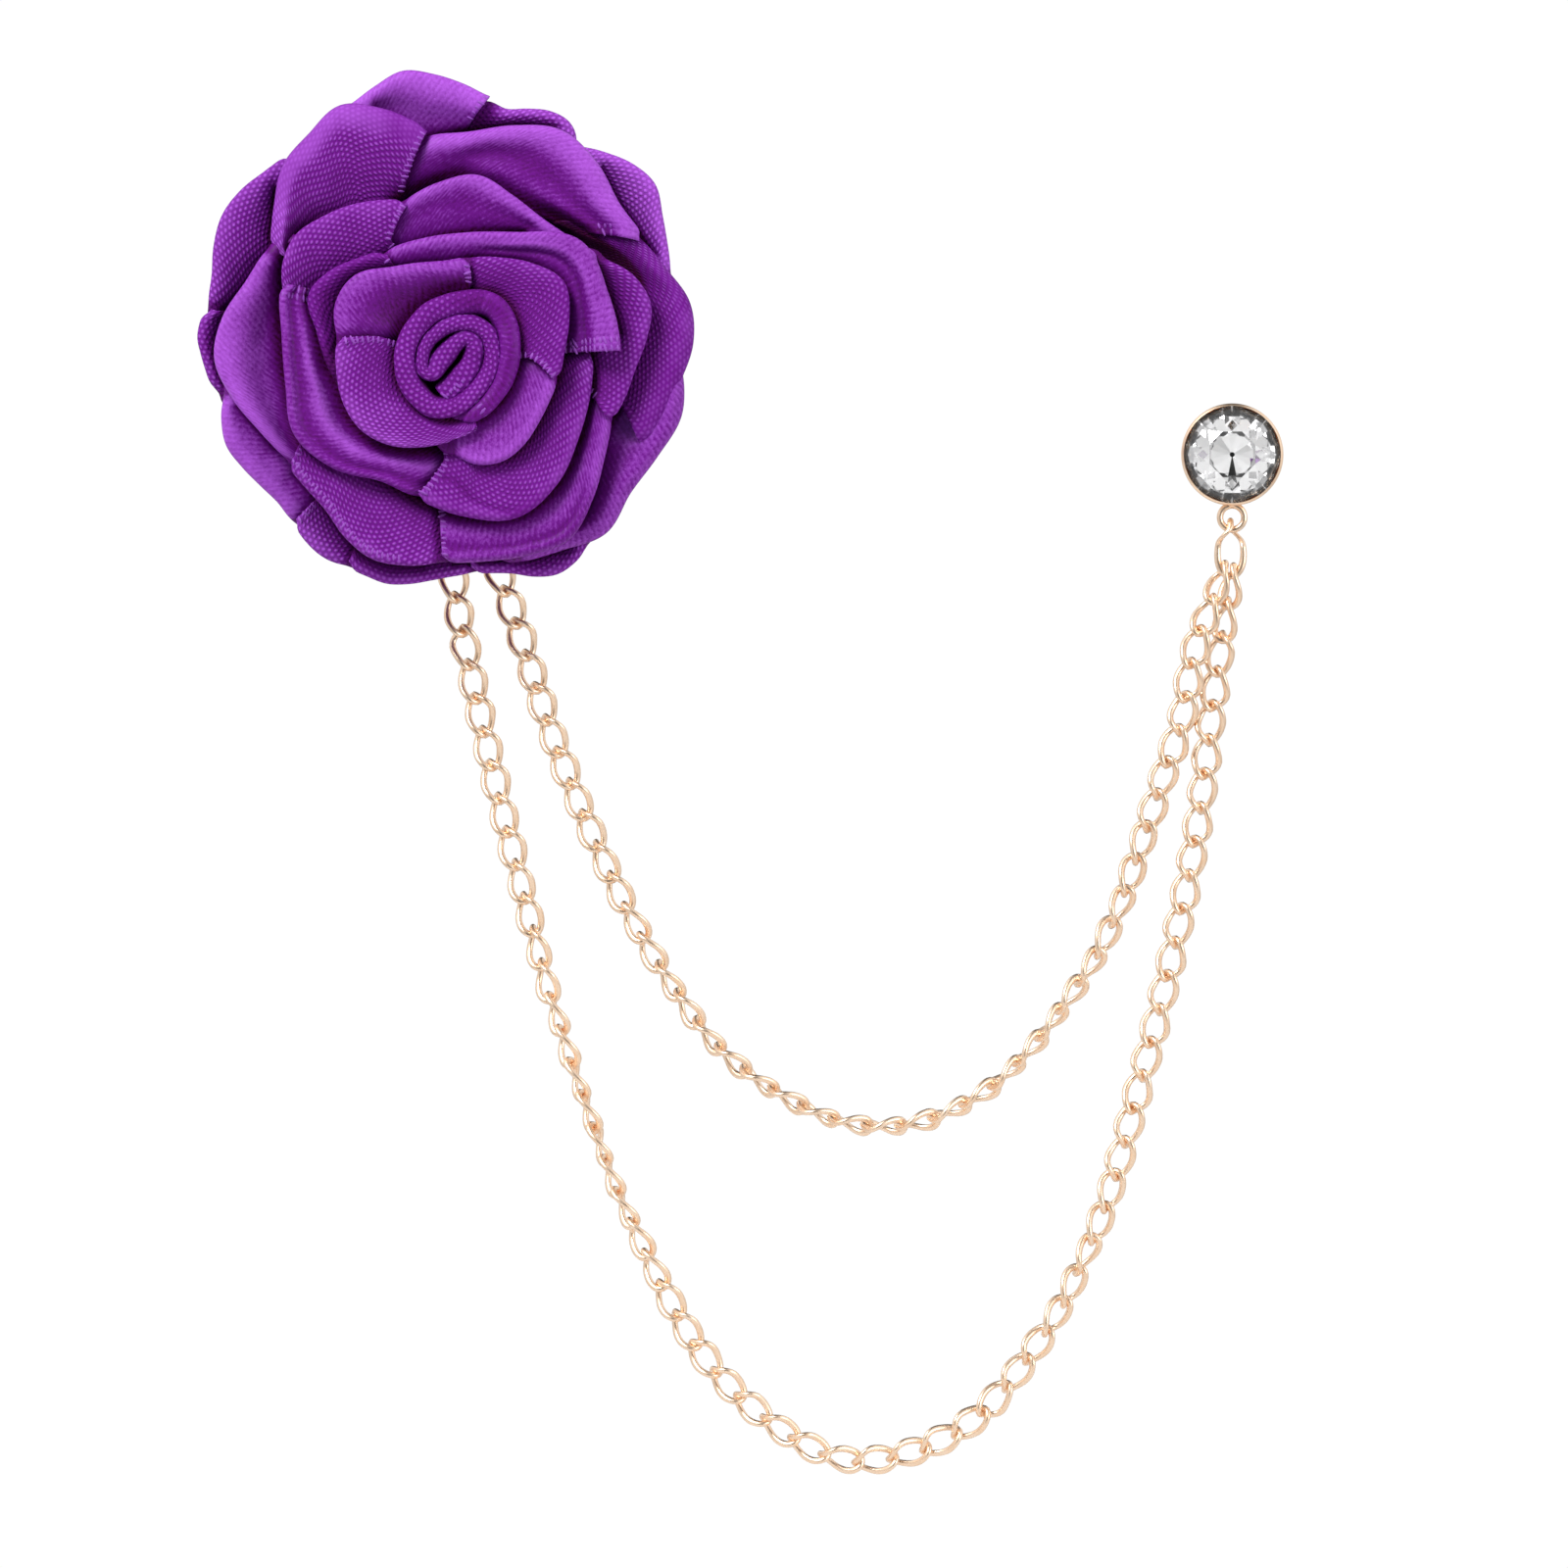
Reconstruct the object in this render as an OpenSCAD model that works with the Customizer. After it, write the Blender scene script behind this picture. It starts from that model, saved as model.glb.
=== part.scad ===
// Flower lapel pin: a ribbon rose on a pin, two hanging curb chains and a stone-set stud.
// The front faces -Y, +Z is up, and the origin lies on the rose pin's post, on the cloth it is pinned to.

/* [Rose] */
// Radius of the rose, from its post to an average outer petal
rose_r = 22.5; // [20:0.5:30]
// Height of the rose's rolled heart above the cloth
rose_h = 16; // [15:0.5:20]
// Thickness of one petal, a folded ribbon
petal_wall = 1; // [0.8:0.05:1.2]
// How far a petal's face swells between its root and its rim
petal_puff = 0.7; // [0.2:0.1:0.9]
// Thickness of the rolled ribbon in the heart
heart_wall = 1; // [0.8:0.05:1.1]
// Gap between the ends of neighbouring petals
seam_gap = 0.35; // [0.2:0.05:0.6]
// Gap between a petal's root and the gathered base
seat_gap = 0.2; // [0.1:0.05:0.4]
// Thickness of the base where it reaches out under the outer petals
base_rim = 0.8; // [0.6:0.1:1.2]

/* [Rose pin] */
// Radius of the metal plate behind the rose
plate_r = 8; // [7:0.25:9]
// Thickness of that plate
plate_t = 1; // [0.8:0.1:1.4]
// Radius of the rose pin's post
post_r = 0.6; // [0.4:0.05:1]
// Length of the post behind the plate, without its point
post_len = 8; // [6:0.5:12]
// Length of a post's point
tip_len = 1.2; // [0.6:0.1:2]
// Height of the chains and of the eyes that hold them above the cloth
chain_lift = 1.6; // [1.5:0.05:1.8]
// Inner radius of an eye
eye_r = 0.8; // [0.75:0.05:0.9]
// Thickness of an eye's wire
eye_wire = 0.6; // [0.5:0.05:0.7]

/* [Chains] */
// Distance between one link and the next
link_pitch = 3.1; // [3:0.05:3.4]
// Width of a link over its wire
link_w = 2.85; // [2.8:0.05:3]
// Thickness of a link's wire
link_wire = 0.55; // [0.48:0.01:0.56]
// Play between two links
link_gap = 0.2; // [0.18:0.01:0.26]
// How far neighbouring links rock to either side
link_rock = 5; // [0:1:6]

/* [Stud] */
// Distance of the stud to the right of the rose's post
stud_x = 70.6; // [65:0.1:75]
// Distance of the stud below the rose's post
stud_drop = 8.8; // [5:0.1:12]
// Diameter of the stone
stone_d = 8.6; // [7.6:0.1:9.4]
// Diameter of the stone's table
table_d = 4.5; // [3.8:0.1:5.4]
// Height of the stone's crown above its girdle
crown_h = 1.3; // [0.9:0.1:1.7]
// Depth of the stone below its girdle
pavilion_h = 2.3; // [1.8:0.1:2.6]
// Height of the girdle above the cloth
girdle_h = 3.4; // [3.2:0.1:4.2]
// Wall of the cup around the stone
cup_wall = 0.35; // [0.3:0.05:0.6]
// Gap between the stone and its cup
stone_gap = 0.1; // [0.05:0.01:0.15]
// Radius of the stud's post
stud_post_r = 0.45; // [0.35:0.05:0.7]
// Length of the stud's post behind the cup, without its point
stud_post_len = 7; // [5:0.5:10]

/* [Drop link] */
// Length of the drop link over its wire
drop_len = 5.6; // [5:0.1:6.4]
// Width of the drop link at its middle, over its wire
drop_w = 2.9; // [2.8:0.1:3.4]
// Thickness of the drop link's wire
drop_wire = 0.58; // [0.5:0.01:0.65]

/* [Hidden] */
matte = [0.49, 0.16, 0.63];
gloss = [0.60, 0.30, 0.78];
gold = [0.93, 0.75, 0.52];
clear = [0.88, 0.89, 0.91];

// Seats of the five rings of petals on the base: radius as a share of rose_r, height as a share of rose_h
SEATS = [
    // radius, height
    [0.31, 0.650],
    [0.42, 0.590],
    [0.53, 0.510],
    [0.64, 0.415],
    [0.70, 0.335],
];

// Petals, one row for each fold of ribbon. Angles are degrees anticlockwise from the right, and each petal
// runs clockwise. Tops are shares of rose_h. The rim is its outline's distance from the post at seven even
// steps, as shares of rose_r.
PETALS = [
    // name, ring, colour, rim from, rim to, root from, root to, top from, top to, rim
    ["1a", 1, matte, 270, 170, 268, 170, 0.94, 0.98, [0.320, 0.380, 0.435, 0.470, 0.475, 0.468, 0.470]],
    ["1b", 1, gloss, 170, 87, 170, 87, 0.95, 0.98, [0.475, 0.515, 0.508, 0.436, 0.398, 0.383, 0.395]],
    ["1c", 1, matte, 87, -3, 87, -3, 0.95, 0.98, [0.400, 0.437, 0.490, 0.535, 0.490, 0.447, 0.437]],
    ["1d", 1, gloss, -5, -89, -3, -92, 0.95, 0.91, [0.435, 0.429, 0.433, 0.452, 0.463, 0.445, 0.408]],
    ["2a", 2, matte, 172, 123, 176, 123, 0.86, 0.90, [0.540, 0.588, 0.634, 0.610, 0.574, 0.533, 0.510]],
    ["2b", 2, gloss, 123, 2, 123, 2, 0.88, 0.92, [0.500, 0.487, 0.500, 0.560, 0.690, 0.672, 0.672]],
    ["2c", 2, matte, 2, -117, 2, -114, 0.85, 0.90, [0.560, 0.575, 0.612, 0.678, 0.685, 0.605, 0.586]],
    ["2d", 2, gloss, 243, 156, 246, 194, 0.86, 0.88, [0.552, 0.615, 0.695, 0.700, 0.675, 0.690, 0.745]],
    ["3a", 3, matte, 155, 109, 168, 110, 0.78, 0.82, [0.745, 0.778, 0.795, 0.760, 0.730, 0.695, 0.663]],
    ["3b", 3, gloss, 109, 37, 110, 37, 0.79, 0.82, [0.660, 0.700, 0.734, 0.690, 0.660, 0.663, 0.700]],
    ["3c", 3, matte, 36, -22, 37, -20, 0.79, 0.82, [0.715, 0.783, 0.823, 0.790, 0.738, 0.713, 0.690]],
    ["3d", 3, gloss, -23, -93, -20, -96, 0.79, 0.80, [0.690, 0.730, 0.800, 0.880, 0.865, 0.835, 0.825]],
    ["3e", 3, matte, 266, 213, 264, 200, 0.78, 0.80, [0.832, 0.858, 0.873, 0.845, 0.800, 0.790, 0.794]],
    ["4a", 4, gloss, 211, 150, 226, 150, 0.68, 0.70, [0.790, 0.825, 0.880, 0.975, 0.920, 0.878, 0.866]],
    ["4b", 4, matte, 149, 97, 150, 101, 0.68, 0.72, [0.862, 0.910, 0.975, 1.068, 1.113, 1.010, 0.940]],
    ["4c", 4, gloss, 97, 31, 101, 31, 0.68, 0.72, [0.895, 0.905, 0.960, 1.008, 0.970, 0.908, 0.904]],
    ["4d", 4, matte, 31, -25, 31, -27, 0.67, 0.70, [0.900, 0.938, 0.985, 0.950, 0.940, 0.944, 0.920]],
    ["4e", 4, gloss, -26, -52, -27, -62, 0.67, 0.66, [0.900, 0.885, 0.885, 0.900, 0.928, 0.944, 0.924]],
    ["5a", 5, gloss, 118, 80, 122, 78, 0.54, 0.58, [1.080, 1.095, 1.140, 1.170, 1.138, 1.088, 1.037]],
    ["5b", 5, matte, 78, 59.5, 77, 60, 0.54, 0.56, [1.010, 1.030, 1.050, 1.063, 1.060, 1.035, 1.010]],
    ["5c", 5, matte, 58.5, 21, 59, 19, 0.55, 0.58, [1.008, 1.035, 1.072, 1.070, 1.015, 0.970, 0.940]],
    ["5d", 5, matte, -54, -85, -53, -86, 0.53, 0.55, [0.930, 0.957, 0.966, 0.940, 0.900, 0.880, 0.872]],
    ["5e", 5, gloss, -87, -117, -87, -118, 0.54, 0.56, [0.880, 0.890, 0.908, 0.935, 0.955, 0.953, 0.940]],
    ["5f", 5, matte, 242, 226, 241, 226, 0.54, 0.56, [0.945, 0.956, 0.957, 0.955, 0.950, 0.935, 0.920]],
    ["5g", 5, gloss, 225, 189, 225, 189, 0.54, 0.57, [0.918, 0.907, 0.920, 0.948, 0.975, 0.972, 0.955]],
    ["5h", 5, matte, 188, 169, 188, 168, 0.53, 0.55, [0.960, 0.990, 1.003, 1.018, 1.029, 1.024, 1.007]],
    ["5i", 5, matte, 168, 129, 167, 127, 0.54, 0.58, [1.000, 1.025, 1.064, 1.095, 1.094, 1.072, 1.055]],
];

// The heart's roll, one row for each bend from the inner end outwards: bearing in degrees anticlockwise from
// the right, reach as a share of rose_r, top as a share of rose_h
HEART = [
    // bearing, reach, top
    [262, 0.150, 0.93], [300, 0.102, 0.94], [350, 0.095, 0.95], [30, 0.106, 0.96], [56, 0.094, 0.96],
    [76, 0.058, 0.95], [150, 0.030, 0.95], [206, 0.072, 0.95], [220, 0.116, 0.96], [203, 0.148, 0.97],
    [171, 0.130, 0.97], [142, 0.120, 0.97], [105, 0.125, 0.97], [78, 0.140, 0.98], [57, 0.160, 0.98],
    [30, 0.172, 0.98], [353, 0.165, 0.98], [320, 0.162, 0.98], [295, 0.178, 0.98], [272, 0.212, 0.98],
    [247, 0.232, 0.98], [218, 0.222, 0.99], [185, 0.208, 0.99], [150, 0.200, 0.99], [115, 0.208, 0.99],
    [79, 0.240, 0.99], [55, 0.278, 0.99], [35, 0.270, 0.99], [10, 0.242, 1.00], [340, 0.230, 0.99],
    [310, 0.236, 0.98], [290, 0.250, 0.97],
];
heart_foot = 0.6;        // height of the heart's foot, as a share of rose_h
heart_taper = 0.84;      // its width there, as a share of its width at the top
heart_shoulder = 0.9;    // height of the shoulder below its rounded rim, as a share of the ribbon's height

// Chosen points of the two chains, from the rose to the stud
ROUTE_INNER = [
    // x, y, z, roll
    [3.3, -1.6, -16, -6], [4.4, -1.6, -20.2, 0], [6, -1.6, -24.9, 5], [8.9, -1.6, -34, 15],
    [12.5, -1.6, -43, 25], [16.7, -1.6, -51.8, 45], [20.2, -1.6, -57.5, 60], [24.2, -1.6, -62.7, 68],
    [29.5, -1.6, -66.7, 74], [35.5, -1.6, -69.3, 76], [41.7, -1.6, -69.4, 70], [47.6, -1.6, -66.9, 72],
    [51.9, -1.6, -63.1, 75], [55.7, -1.6, -58.2, 66], [58.9, -1.7, -53.1, 50], [61.3, -1.8, -47.3, 38],
    [64.1, -2, -38.7, 14], [66, -2.3, -32.9, 0], [67.2, -2.5, -26.6, -12],
];
ROUTE_OUTER = [
    // x, y, z, roll
    [-0.3, -1.6, -16, -6], [0.1, -1.6, -20.7, 0], [1, -1.6, -25.8, 3], [3.8, -1.6, -38.4, 10],
    [6.9, -1.6, -50.7, 32], [8.6, -1.6, -57.2, 56], [10.6, -1.6, -63.7, 72], [12.6, -1.6, -69.4, 82],
    [14.8, -1.6, -75.5, 76], [17.5, -1.6, -81.3, 50], [19.3, -1.6, -84.9, 32], [22.7, -1.6, -90.5, 10],
    [27.1, -1.6, -95.2, 20], [32.6, -1.6, -98.9, 31], [37.5, -1.6, -100, 27], [43.7, -1.6, -98.4, 10],
    [48.9, -1.6, -94.7, 2], [54.6, -1.6, -86.9, 34], [57, -1.6, -82, 50], [59.3, -1.6, -76.4, 26],
    [61.8, -1.6, -67.5, 2], [64.9, -1.6, -55.3, 0], [67.4, -1.5, -42.8, 0], [68.9, -1.4, -31, -6],
    [69.8, -1.4, -25, -36],
];

petal_names = [for (row = PETALS) str("petal_", row[0])];

// Curves through chosen values
function pick(list, i) = list[max(0, min(len(list) - 1, i))];
function blend4(a, b, c, d, f) =
    b + ((c - a) * f + (2 * a - 5 * b + 4 * c - d) * f * f + (3 * b - a - 3 * c + d) * f * f * f) / 2;
function curve(list, t) =
    let (n = len(list) - 1, s = t * n, i = min(n - 1, floor(s)), f = s - i)
    blend4(pick(list, i - 1), pick(list, i), pick(list, i + 1), pick(list, i + 2), f);
function mix(a, b, t) = a + (b - a) * t;
function unit(v) = v / norm(v);

// A place on the rose: bearing, distance from the post, height above the cloth
function on_rose(bearing, reach, lift) = [reach * cos(bearing), -lift, reach * sin(bearing)];

// Petals: walls that lean out from their seat to a round rim
rim_nose = 0.6 * petal_wall;
SWELL = [0, 0.89, 0.89, 0];    // shares of petal_puff at the four points from a petal's root to its lip
function seam_turn(reach) = seam_gap / reach * 90 / PI;

function seat_r(ring) = SEATS[ring - 1][0] * rose_r;
function seat_h(ring) = SEATS[ring - 1][1] * rose_h;

function petal_section(row, t) =
    let (
        foot = [seat_r(row[1]), seat_h(row[1])],
        reach = curve(row[9], t) * rose_r,
        lip = [reach - rim_nose, mix(row[7], row[8], t) * rose_h],
        along = unit(lip - foot),
        out = [along[1], -along[0]],
        front = [for (k = [0:3]) mix(foot, lip, k / 3) - out * petal_puff * SWELL[k]],
        back = [for (p = front) p + out * petal_wall],
        nose = [reach, lip[1] - petal_wall / 2],
        profile = concat(front, [nose], [back[3], back[2], back[1], back[0]]),
        share = [0, 1, 2, 3, 3, 3, 2, 1, 0],
        trim = mix(1, -1, t)
    )
    [for (k = [0:8]) let (
        rim_bearing = mix(row[3], row[4], t) - trim * seam_turn(reach),
        root_bearing = mix(row[5], row[6], t) - trim * seam_turn(foot[0])
    ) on_rose(mix(root_bearing, rim_bearing, share[k] / 3), profile[k][0], profile[k][1])];

// Faces that join sections of n points each, from the first to the last
function skin_faces(n, last) = [for (i = [0:last - 1], k = [0:n - 1])
    let (a = i * n + k, b = i * n + (k + 1) % n) each [[a, b, a + n], [b, b + n, a + n]]];

function petal_faces(last) =
    let (e = last * 9)
    concat(
        skin_faces(9, last),
        [for (k = [0:2]) each [[k, 7 - k, k + 1], [k, 8 - k, 7 - k]]],
        [[3, 5, 4]],
        [for (k = [0:2]) each [[e + k, e + k + 1, e + 7 - k], [e + k, e + 7 - k, e + 8 - k]]],
        [[e + 3, e + 4, e + 5]]
    );

module petal(row) {
    steps = max(3, ceil((row[3] - row[4]) / 10));
    points = [for (i = [0:steps]) each petal_section(row, i / steps)];
    color(row[2]) polyhedron(points, petal_faces(steps), convexity = 4);
}

// Heart: one ribbon rolled up from a small fold
heart_path = [for (row = HEART) let (reach = row[1] * rose_r)
    [reach * cos(row[0]), reach * sin(row[0]), row[2] * rose_h]];

function heart_section(t) =
    let (
        p = curve(heart_path, t),
        ahead = curve(heart_path, min(1, t + 0.004)) - curve(heart_path, max(0, t - 0.004)),
        side = unit([-ahead[1], ahead[0]]) * heart_wall / 2,
        here = [p[0], p[1]],
        foot = heart_foot * rose_h
    )
    [for (q = [[-1, 0], [-1, heart_shoulder], [0, 1], [1, heart_shoulder], [1, 0]]) let (
        width = mix(heart_taper, 1, q[1]),
        at = here * width + side * q[0]
    ) [at[0], -mix(foot, p[2], q[1]), at[1]]];

module heart() {
    last = 2 * len(HEART);
    points = [for (i = [0:last]) each heart_section(i / last)];
    e = last * 5;
    faces = concat(
        skin_faces(5, last),
        [[0, 4, 1], [1, 4, 3], [1, 3, 2]],
        [[e, e + 1, e + 4], [e + 1, e + 3, e + 4], [e + 1, e + 2, e + 3]]
    );
    color(matte) polyhedron(points, faces, convexity = 8);
}

// Base: the gathered and sewn ribbon under the petals, one turned form that steps down from ring to ring
under_lift = chain_lift + eye_r + eye_wire + link_gap;
hub_r = plate_r - eye_wire - link_gap;
base_edge = seat_r(5) + petal_wall / 2;

module ribbon_base() {
    seats = [for (ring = [1:5]) [seat_r(ring) + petal_wall / 4, seat_h(ring) - petal_wall - seat_gap]];
    top_h = heart_foot * rose_h - seat_gap;
    profile = concat(
        [[0, plate_t], [hub_r, plate_t], [hub_r, under_lift], [base_edge, under_lift]],
        [[base_edge, min(seats[4][1], under_lift + base_rim)]],
        [for (ring = [5:-1:1]) [seats[ring - 1][0], min(seats[ring - 1][1], top_h)]],
        [[0, min(seats[0][1], top_h)]]
    );
    color(matte * 0.7) rotate([90, 0, 0]) rotate_extrude($fn = 96) polygon(profile);
}

// Eyes: round wire rings that stand out from the plate, each holding the top of one chain
eye_major = eye_r + eye_wire / 2;
eye_reach = plate_r + eye_r;
EYE_BEARINGS = [-74, -97];
function eye_at(i) = on_rose(EYE_BEARINGS[i], eye_reach, chain_lift);

module ring(major, wire) rotate_extrude($fn = 48) translate([major, 0]) circle(d = wire, $fn = 24);

module rose_pin() {
    color(gold) {
        rotate([90, 0, 0]) cylinder(h = plate_t, r = plate_r, $fn = 96);
        rotate([-90, 0, 0]) cylinder(h = post_len, r = post_r, $fn = 48);
        translate([0, post_len, 0])
            rotate([-90, 0, 0]) cylinder(h = tip_len, r1 = post_r, r2 = post_r / 4, $fn = 48);
        for (i = [0, 1]) translate(eye_at(i)) rotate([0, 90, 0]) ring(eye_major, eye_wire);
    }
}

// Drop link: an oval ring, narrower and turned edge-on at its top, where it hangs in the stud's eye
cup_r = stone_d / 2 + stone_gap + cup_wall;
stud_at = [stud_x, 0, -stud_drop];
stud_eye_at = stud_at + [0, -chain_lift, -cup_r - eye_r - eye_wire / 4];
drop_half = (drop_len - drop_wire) / 2;
drop_shift = -0.15;
drop_at = stud_eye_at + [drop_shift, 0, -eye_major + eye_wire / 2 + link_gap + drop_wire / 2 - drop_half];
drop_foot = drop_at - [0, 0, drop_half];
// Where the two chains hang, to either side of the drop link's middle, and how its foot rises there
HANG = [-0.55, 0.3];
foot_rise = 0.8;

// Chains: each route is its chosen points between an eye and the drop link, walked in even steps
HEAD_ROLL = -12;
TAIL_ROLL = -58;
function route(i) =
    let (
        head = eye_at(i) - [0, 0, eye_r - link_gap / 2],
        rise = foot_rise * drop_half * pow(2 * HANG[i] / drop_w, 2),
        tail = drop_foot + [HANG[i], 0, drop_wire / 2 + link_gap + rise],
        between = i == 0 ? ROUTE_INNER : ROUTE_OUTER
    )
    concat([[each head, HEAD_ROLL]], between, [[each tail, TAIL_ROLL]]);

module chain(i) {
    chosen = route(i);
    fine = 8 * len(chosen);
    path = [for (k = [0:fine]) curve(chosen, k / fine)];
    place = function (p) [p[0], p[1], p[2]];
    bits = [for (k = [0:fine - 1]) norm(place(path[k + 1]) - place(path[k]))];
    gone = [for (k = 0, s = 0; k <= fine; s = s + (k < fine ? bits[k] : 0), k = k + 1) s];
    total = gone[fine];
    at = function (s) [for (c = [0:3]) lookup(s, [for (k = [0:fine]) [gone[k], path[k][c]]])];
    count = round(total / link_pitch);
    step = total / count;
    half = (step + link_wire + link_gap) / 2;
    color(gold) for (k = [0:count - 1]) {
        s = (k + 0.5) * step;
        mid = at(s);
        ahead = unit(place(at(s + step / 2)) - place(at(s - step / 2)));
        roll = mid[3] + (k % 2 == 0 ? link_rock : -link_rock) * min(1, k, count - 1 - k);
        front = unit([0, -1, 0] + ahead * ahead[1]);
        wide = cross(front, ahead);
        axes = [ahead, wide * cos(roll) + front * sin(roll), front * cos(roll) - wide * sin(roll)];
        link(place(mid), axes, half, link_w, link_wire);
    }
}

// A curb link: a full oval of wire, twisted so that its two ends cross their neighbours about squarely
LINK_SIDES = 10;
WIRE_SIDES = 5;
LINK_TWIST = 50;
OVAL = 0.8;
function full(x) = sign(x) * pow(abs(x), OVAL);
function link_point(turn, half, wide) =
    let (u = full(cos(turn)), twist = LINK_TWIST * u, v = wide * full(sin(turn)))
    [half * u, v * cos(twist), -v * sin(twist)];

module link(at, axes, half, width, wire) {
    wide = (width - wire) / 2;
    rings = [for (i = [0:LINK_SIDES - 1]) let (
        turn = i * 360 / LINK_SIDES,
        twist = LINK_TWIST * full(cos(turn)),
        p = link_point(turn, half, wide),
        ahead = unit(link_point(turn + 6, half, wide) - link_point(turn - 6, half, wide)),
        up = unit([0, sin(twist), cos(twist)] - ahead * (ahead * [0, sin(twist), cos(twist)])),
        out = cross(up, ahead)
    ) [for (j = [0:WIRE_SIDES - 1]) let (
        a = j * 360 / WIRE_SIDES,
        q = p + (out * cos(a) + up * sin(a)) * wire / 2
    ) at + axes[0] * q[0] + axes[1] * q[1] + axes[2] * q[2]]];
    closed_tube(rings);
}

module closed_tube(rings) {
    n = len(rings);
    m = len(rings[0]);
    polyhedron(
        [for (r = rings) each r],
        [for (i = [0:n - 1], j = [0:m - 1]) let (
            a = i * m + j, b = i * m + (j + 1) % m,
            c = (i + 1) % n * m + j, d = (i + 1) % n * m + (j + 1) % m
        ) each [[a, c, b], [b, c, d]]],
        convexity = 4
    );
}

module chain_inner() chain(0);
module chain_outer() chain(1);

DROP_SIDES = 16;
drop_flare = 0.2;    // share by which the drop link is wider at its foot than at its middle
function drop_twist(u) = let (f = max(0, min(1, (u - 0.25) / 0.45))) 90 * f * f * (3 - 2 * f);
function drop_point(turn) =
    let (
        u = full(cos(turn)),
        twist = drop_twist(u),
        v = (drop_w - drop_wire) / 2 * full(sin(turn)) * (1 - drop_flare * u)
    )
    [v * cos(twist), v * sin(twist), drop_half * u];

module drop_link() {
    rings = [for (i = [0:DROP_SIDES - 1]) let (
        turn = i * 360 / DROP_SIDES,
        twist = drop_twist(full(cos(turn))),
        p = drop_point(turn),
        ahead = unit(drop_point(turn + 4) - drop_point(turn - 4)),
        face = [-sin(twist), cos(twist), 0],
        up = unit(face - ahead * (ahead * face)),
        out = cross(up, ahead)
    ) [for (j = [0:5]) drop_at + p + (out * cos(j * 60) + up * sin(j * 60)) * drop_wire / 2]];
    color(gold) closed_tube(rings);
}

// Stud: a turned cup with a round seat for the stone, its eye and its post, all soldered
cup_foot = 0.86;       // radius of the cup's foot as a share of its lip's
cup_bend = 0.55;       // height of the bend above its foot as a share of its lip's
cup_lip = 0.15;        // height of its lip above the girdle's middle
culet_r = stone_d / 8;

module stud_setting() {
    lip_h = girdle_h + cup_lip;
    floor_h = girdle_h - pavilion_h - 2 * stone_gap;
    inner_r = stone_d / 2 + stone_gap;
    profile = [
        [0, 0], [cup_r * cup_foot, 0], [cup_r, lip_h * cup_bend], [cup_r, lip_h], [inner_r, lip_h],
        [inner_r, girdle_h - girdle_t / 2 - stone_gap], [culet_r, floor_h], [0, floor_h]
    ];
    color(gold) translate(stud_at) {
        rotate([90, 0, 0]) rotate_extrude($fn = 96) polygon(profile);
        rotate([-90, 0, 0]) cylinder(h = stud_post_len, r = stud_post_r, $fn = 48);
        translate([0, stud_post_len, 0])
            rotate([-90, 0, 0]) cylinder(h = tip_len, r1 = stud_post_r, r2 = stud_post_r / 4, $fn = 48);
        translate(stud_eye_at - stud_at) rotate([90, 0, 0]) ring(eye_major, eye_wire);
    }
}

// Stone: a round brilliant with an eight-sided table, two rows of crown facets and a pointed pavilion
girdle_t = 0.2;    // thickness of its girdle
star_out = 0.42;   // way from the table to the girdle at which its star facets end
star_up = 0.62;    // their height as a share of the crown's
keel_down = 0.8;   // depth of the pavilion's lower facets as a share of its own
function gem_ring(r, h, turn, n) =
    [for (i = [0:n - 1]) let (a = turn + i * 360 / n) [r * cos(a), -h, r * sin(a)]];

module stone() {
    star_r = mix(table_d, stone_d, star_out) / 2;
    points = concat(
        gem_ring(table_d / 2, girdle_h + crown_h, 22.5, 8),
        gem_ring(star_r, girdle_h + crown_h * star_up, 0, 8),
        gem_ring(stone_d / 2, girdle_h + girdle_t / 2, 0, 16),
        gem_ring(stone_d / 2, girdle_h - girdle_t / 2, 0, 16),
        gem_ring(culet_r, girdle_h - pavilion_h * keel_down, 22.5, 8),
        [[0, -(girdle_h - pavilion_h), 0]]
    );
    faces = [for (i = [0:len(points) - 3]) [i, i + 1, i + 2]];
    color(clear) translate(stud_at) hull() polyhedron(points, faces);
}

heart();
for (row = PETALS) petal(row);
ribbon_base();
rose_pin();
chain_inner();
chain_outer();
drop_link();
stud_setting();
stone();
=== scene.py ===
# %% [markdown]
# # A ribbon rose lapel pin, dressed piece by piece
#
# The jewel is a rose folded from one purple ribbon, two gold curb chains that hang from it, and a small stud
# with a clear stone that the chains' other end hangs from. The plain solids of every piece are already there,
# in millimetres of a real rose 45 mm across. What is left is their finish: ribbon that is folded and woven,
# wire that is round, a stone that is cut. Each step below says what a piece is on the real thing, how it
# could be made, and why it is made as it is.

import math

import bpy
import numpy as np
from mathutils import Matrix, Vector, noise


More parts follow.
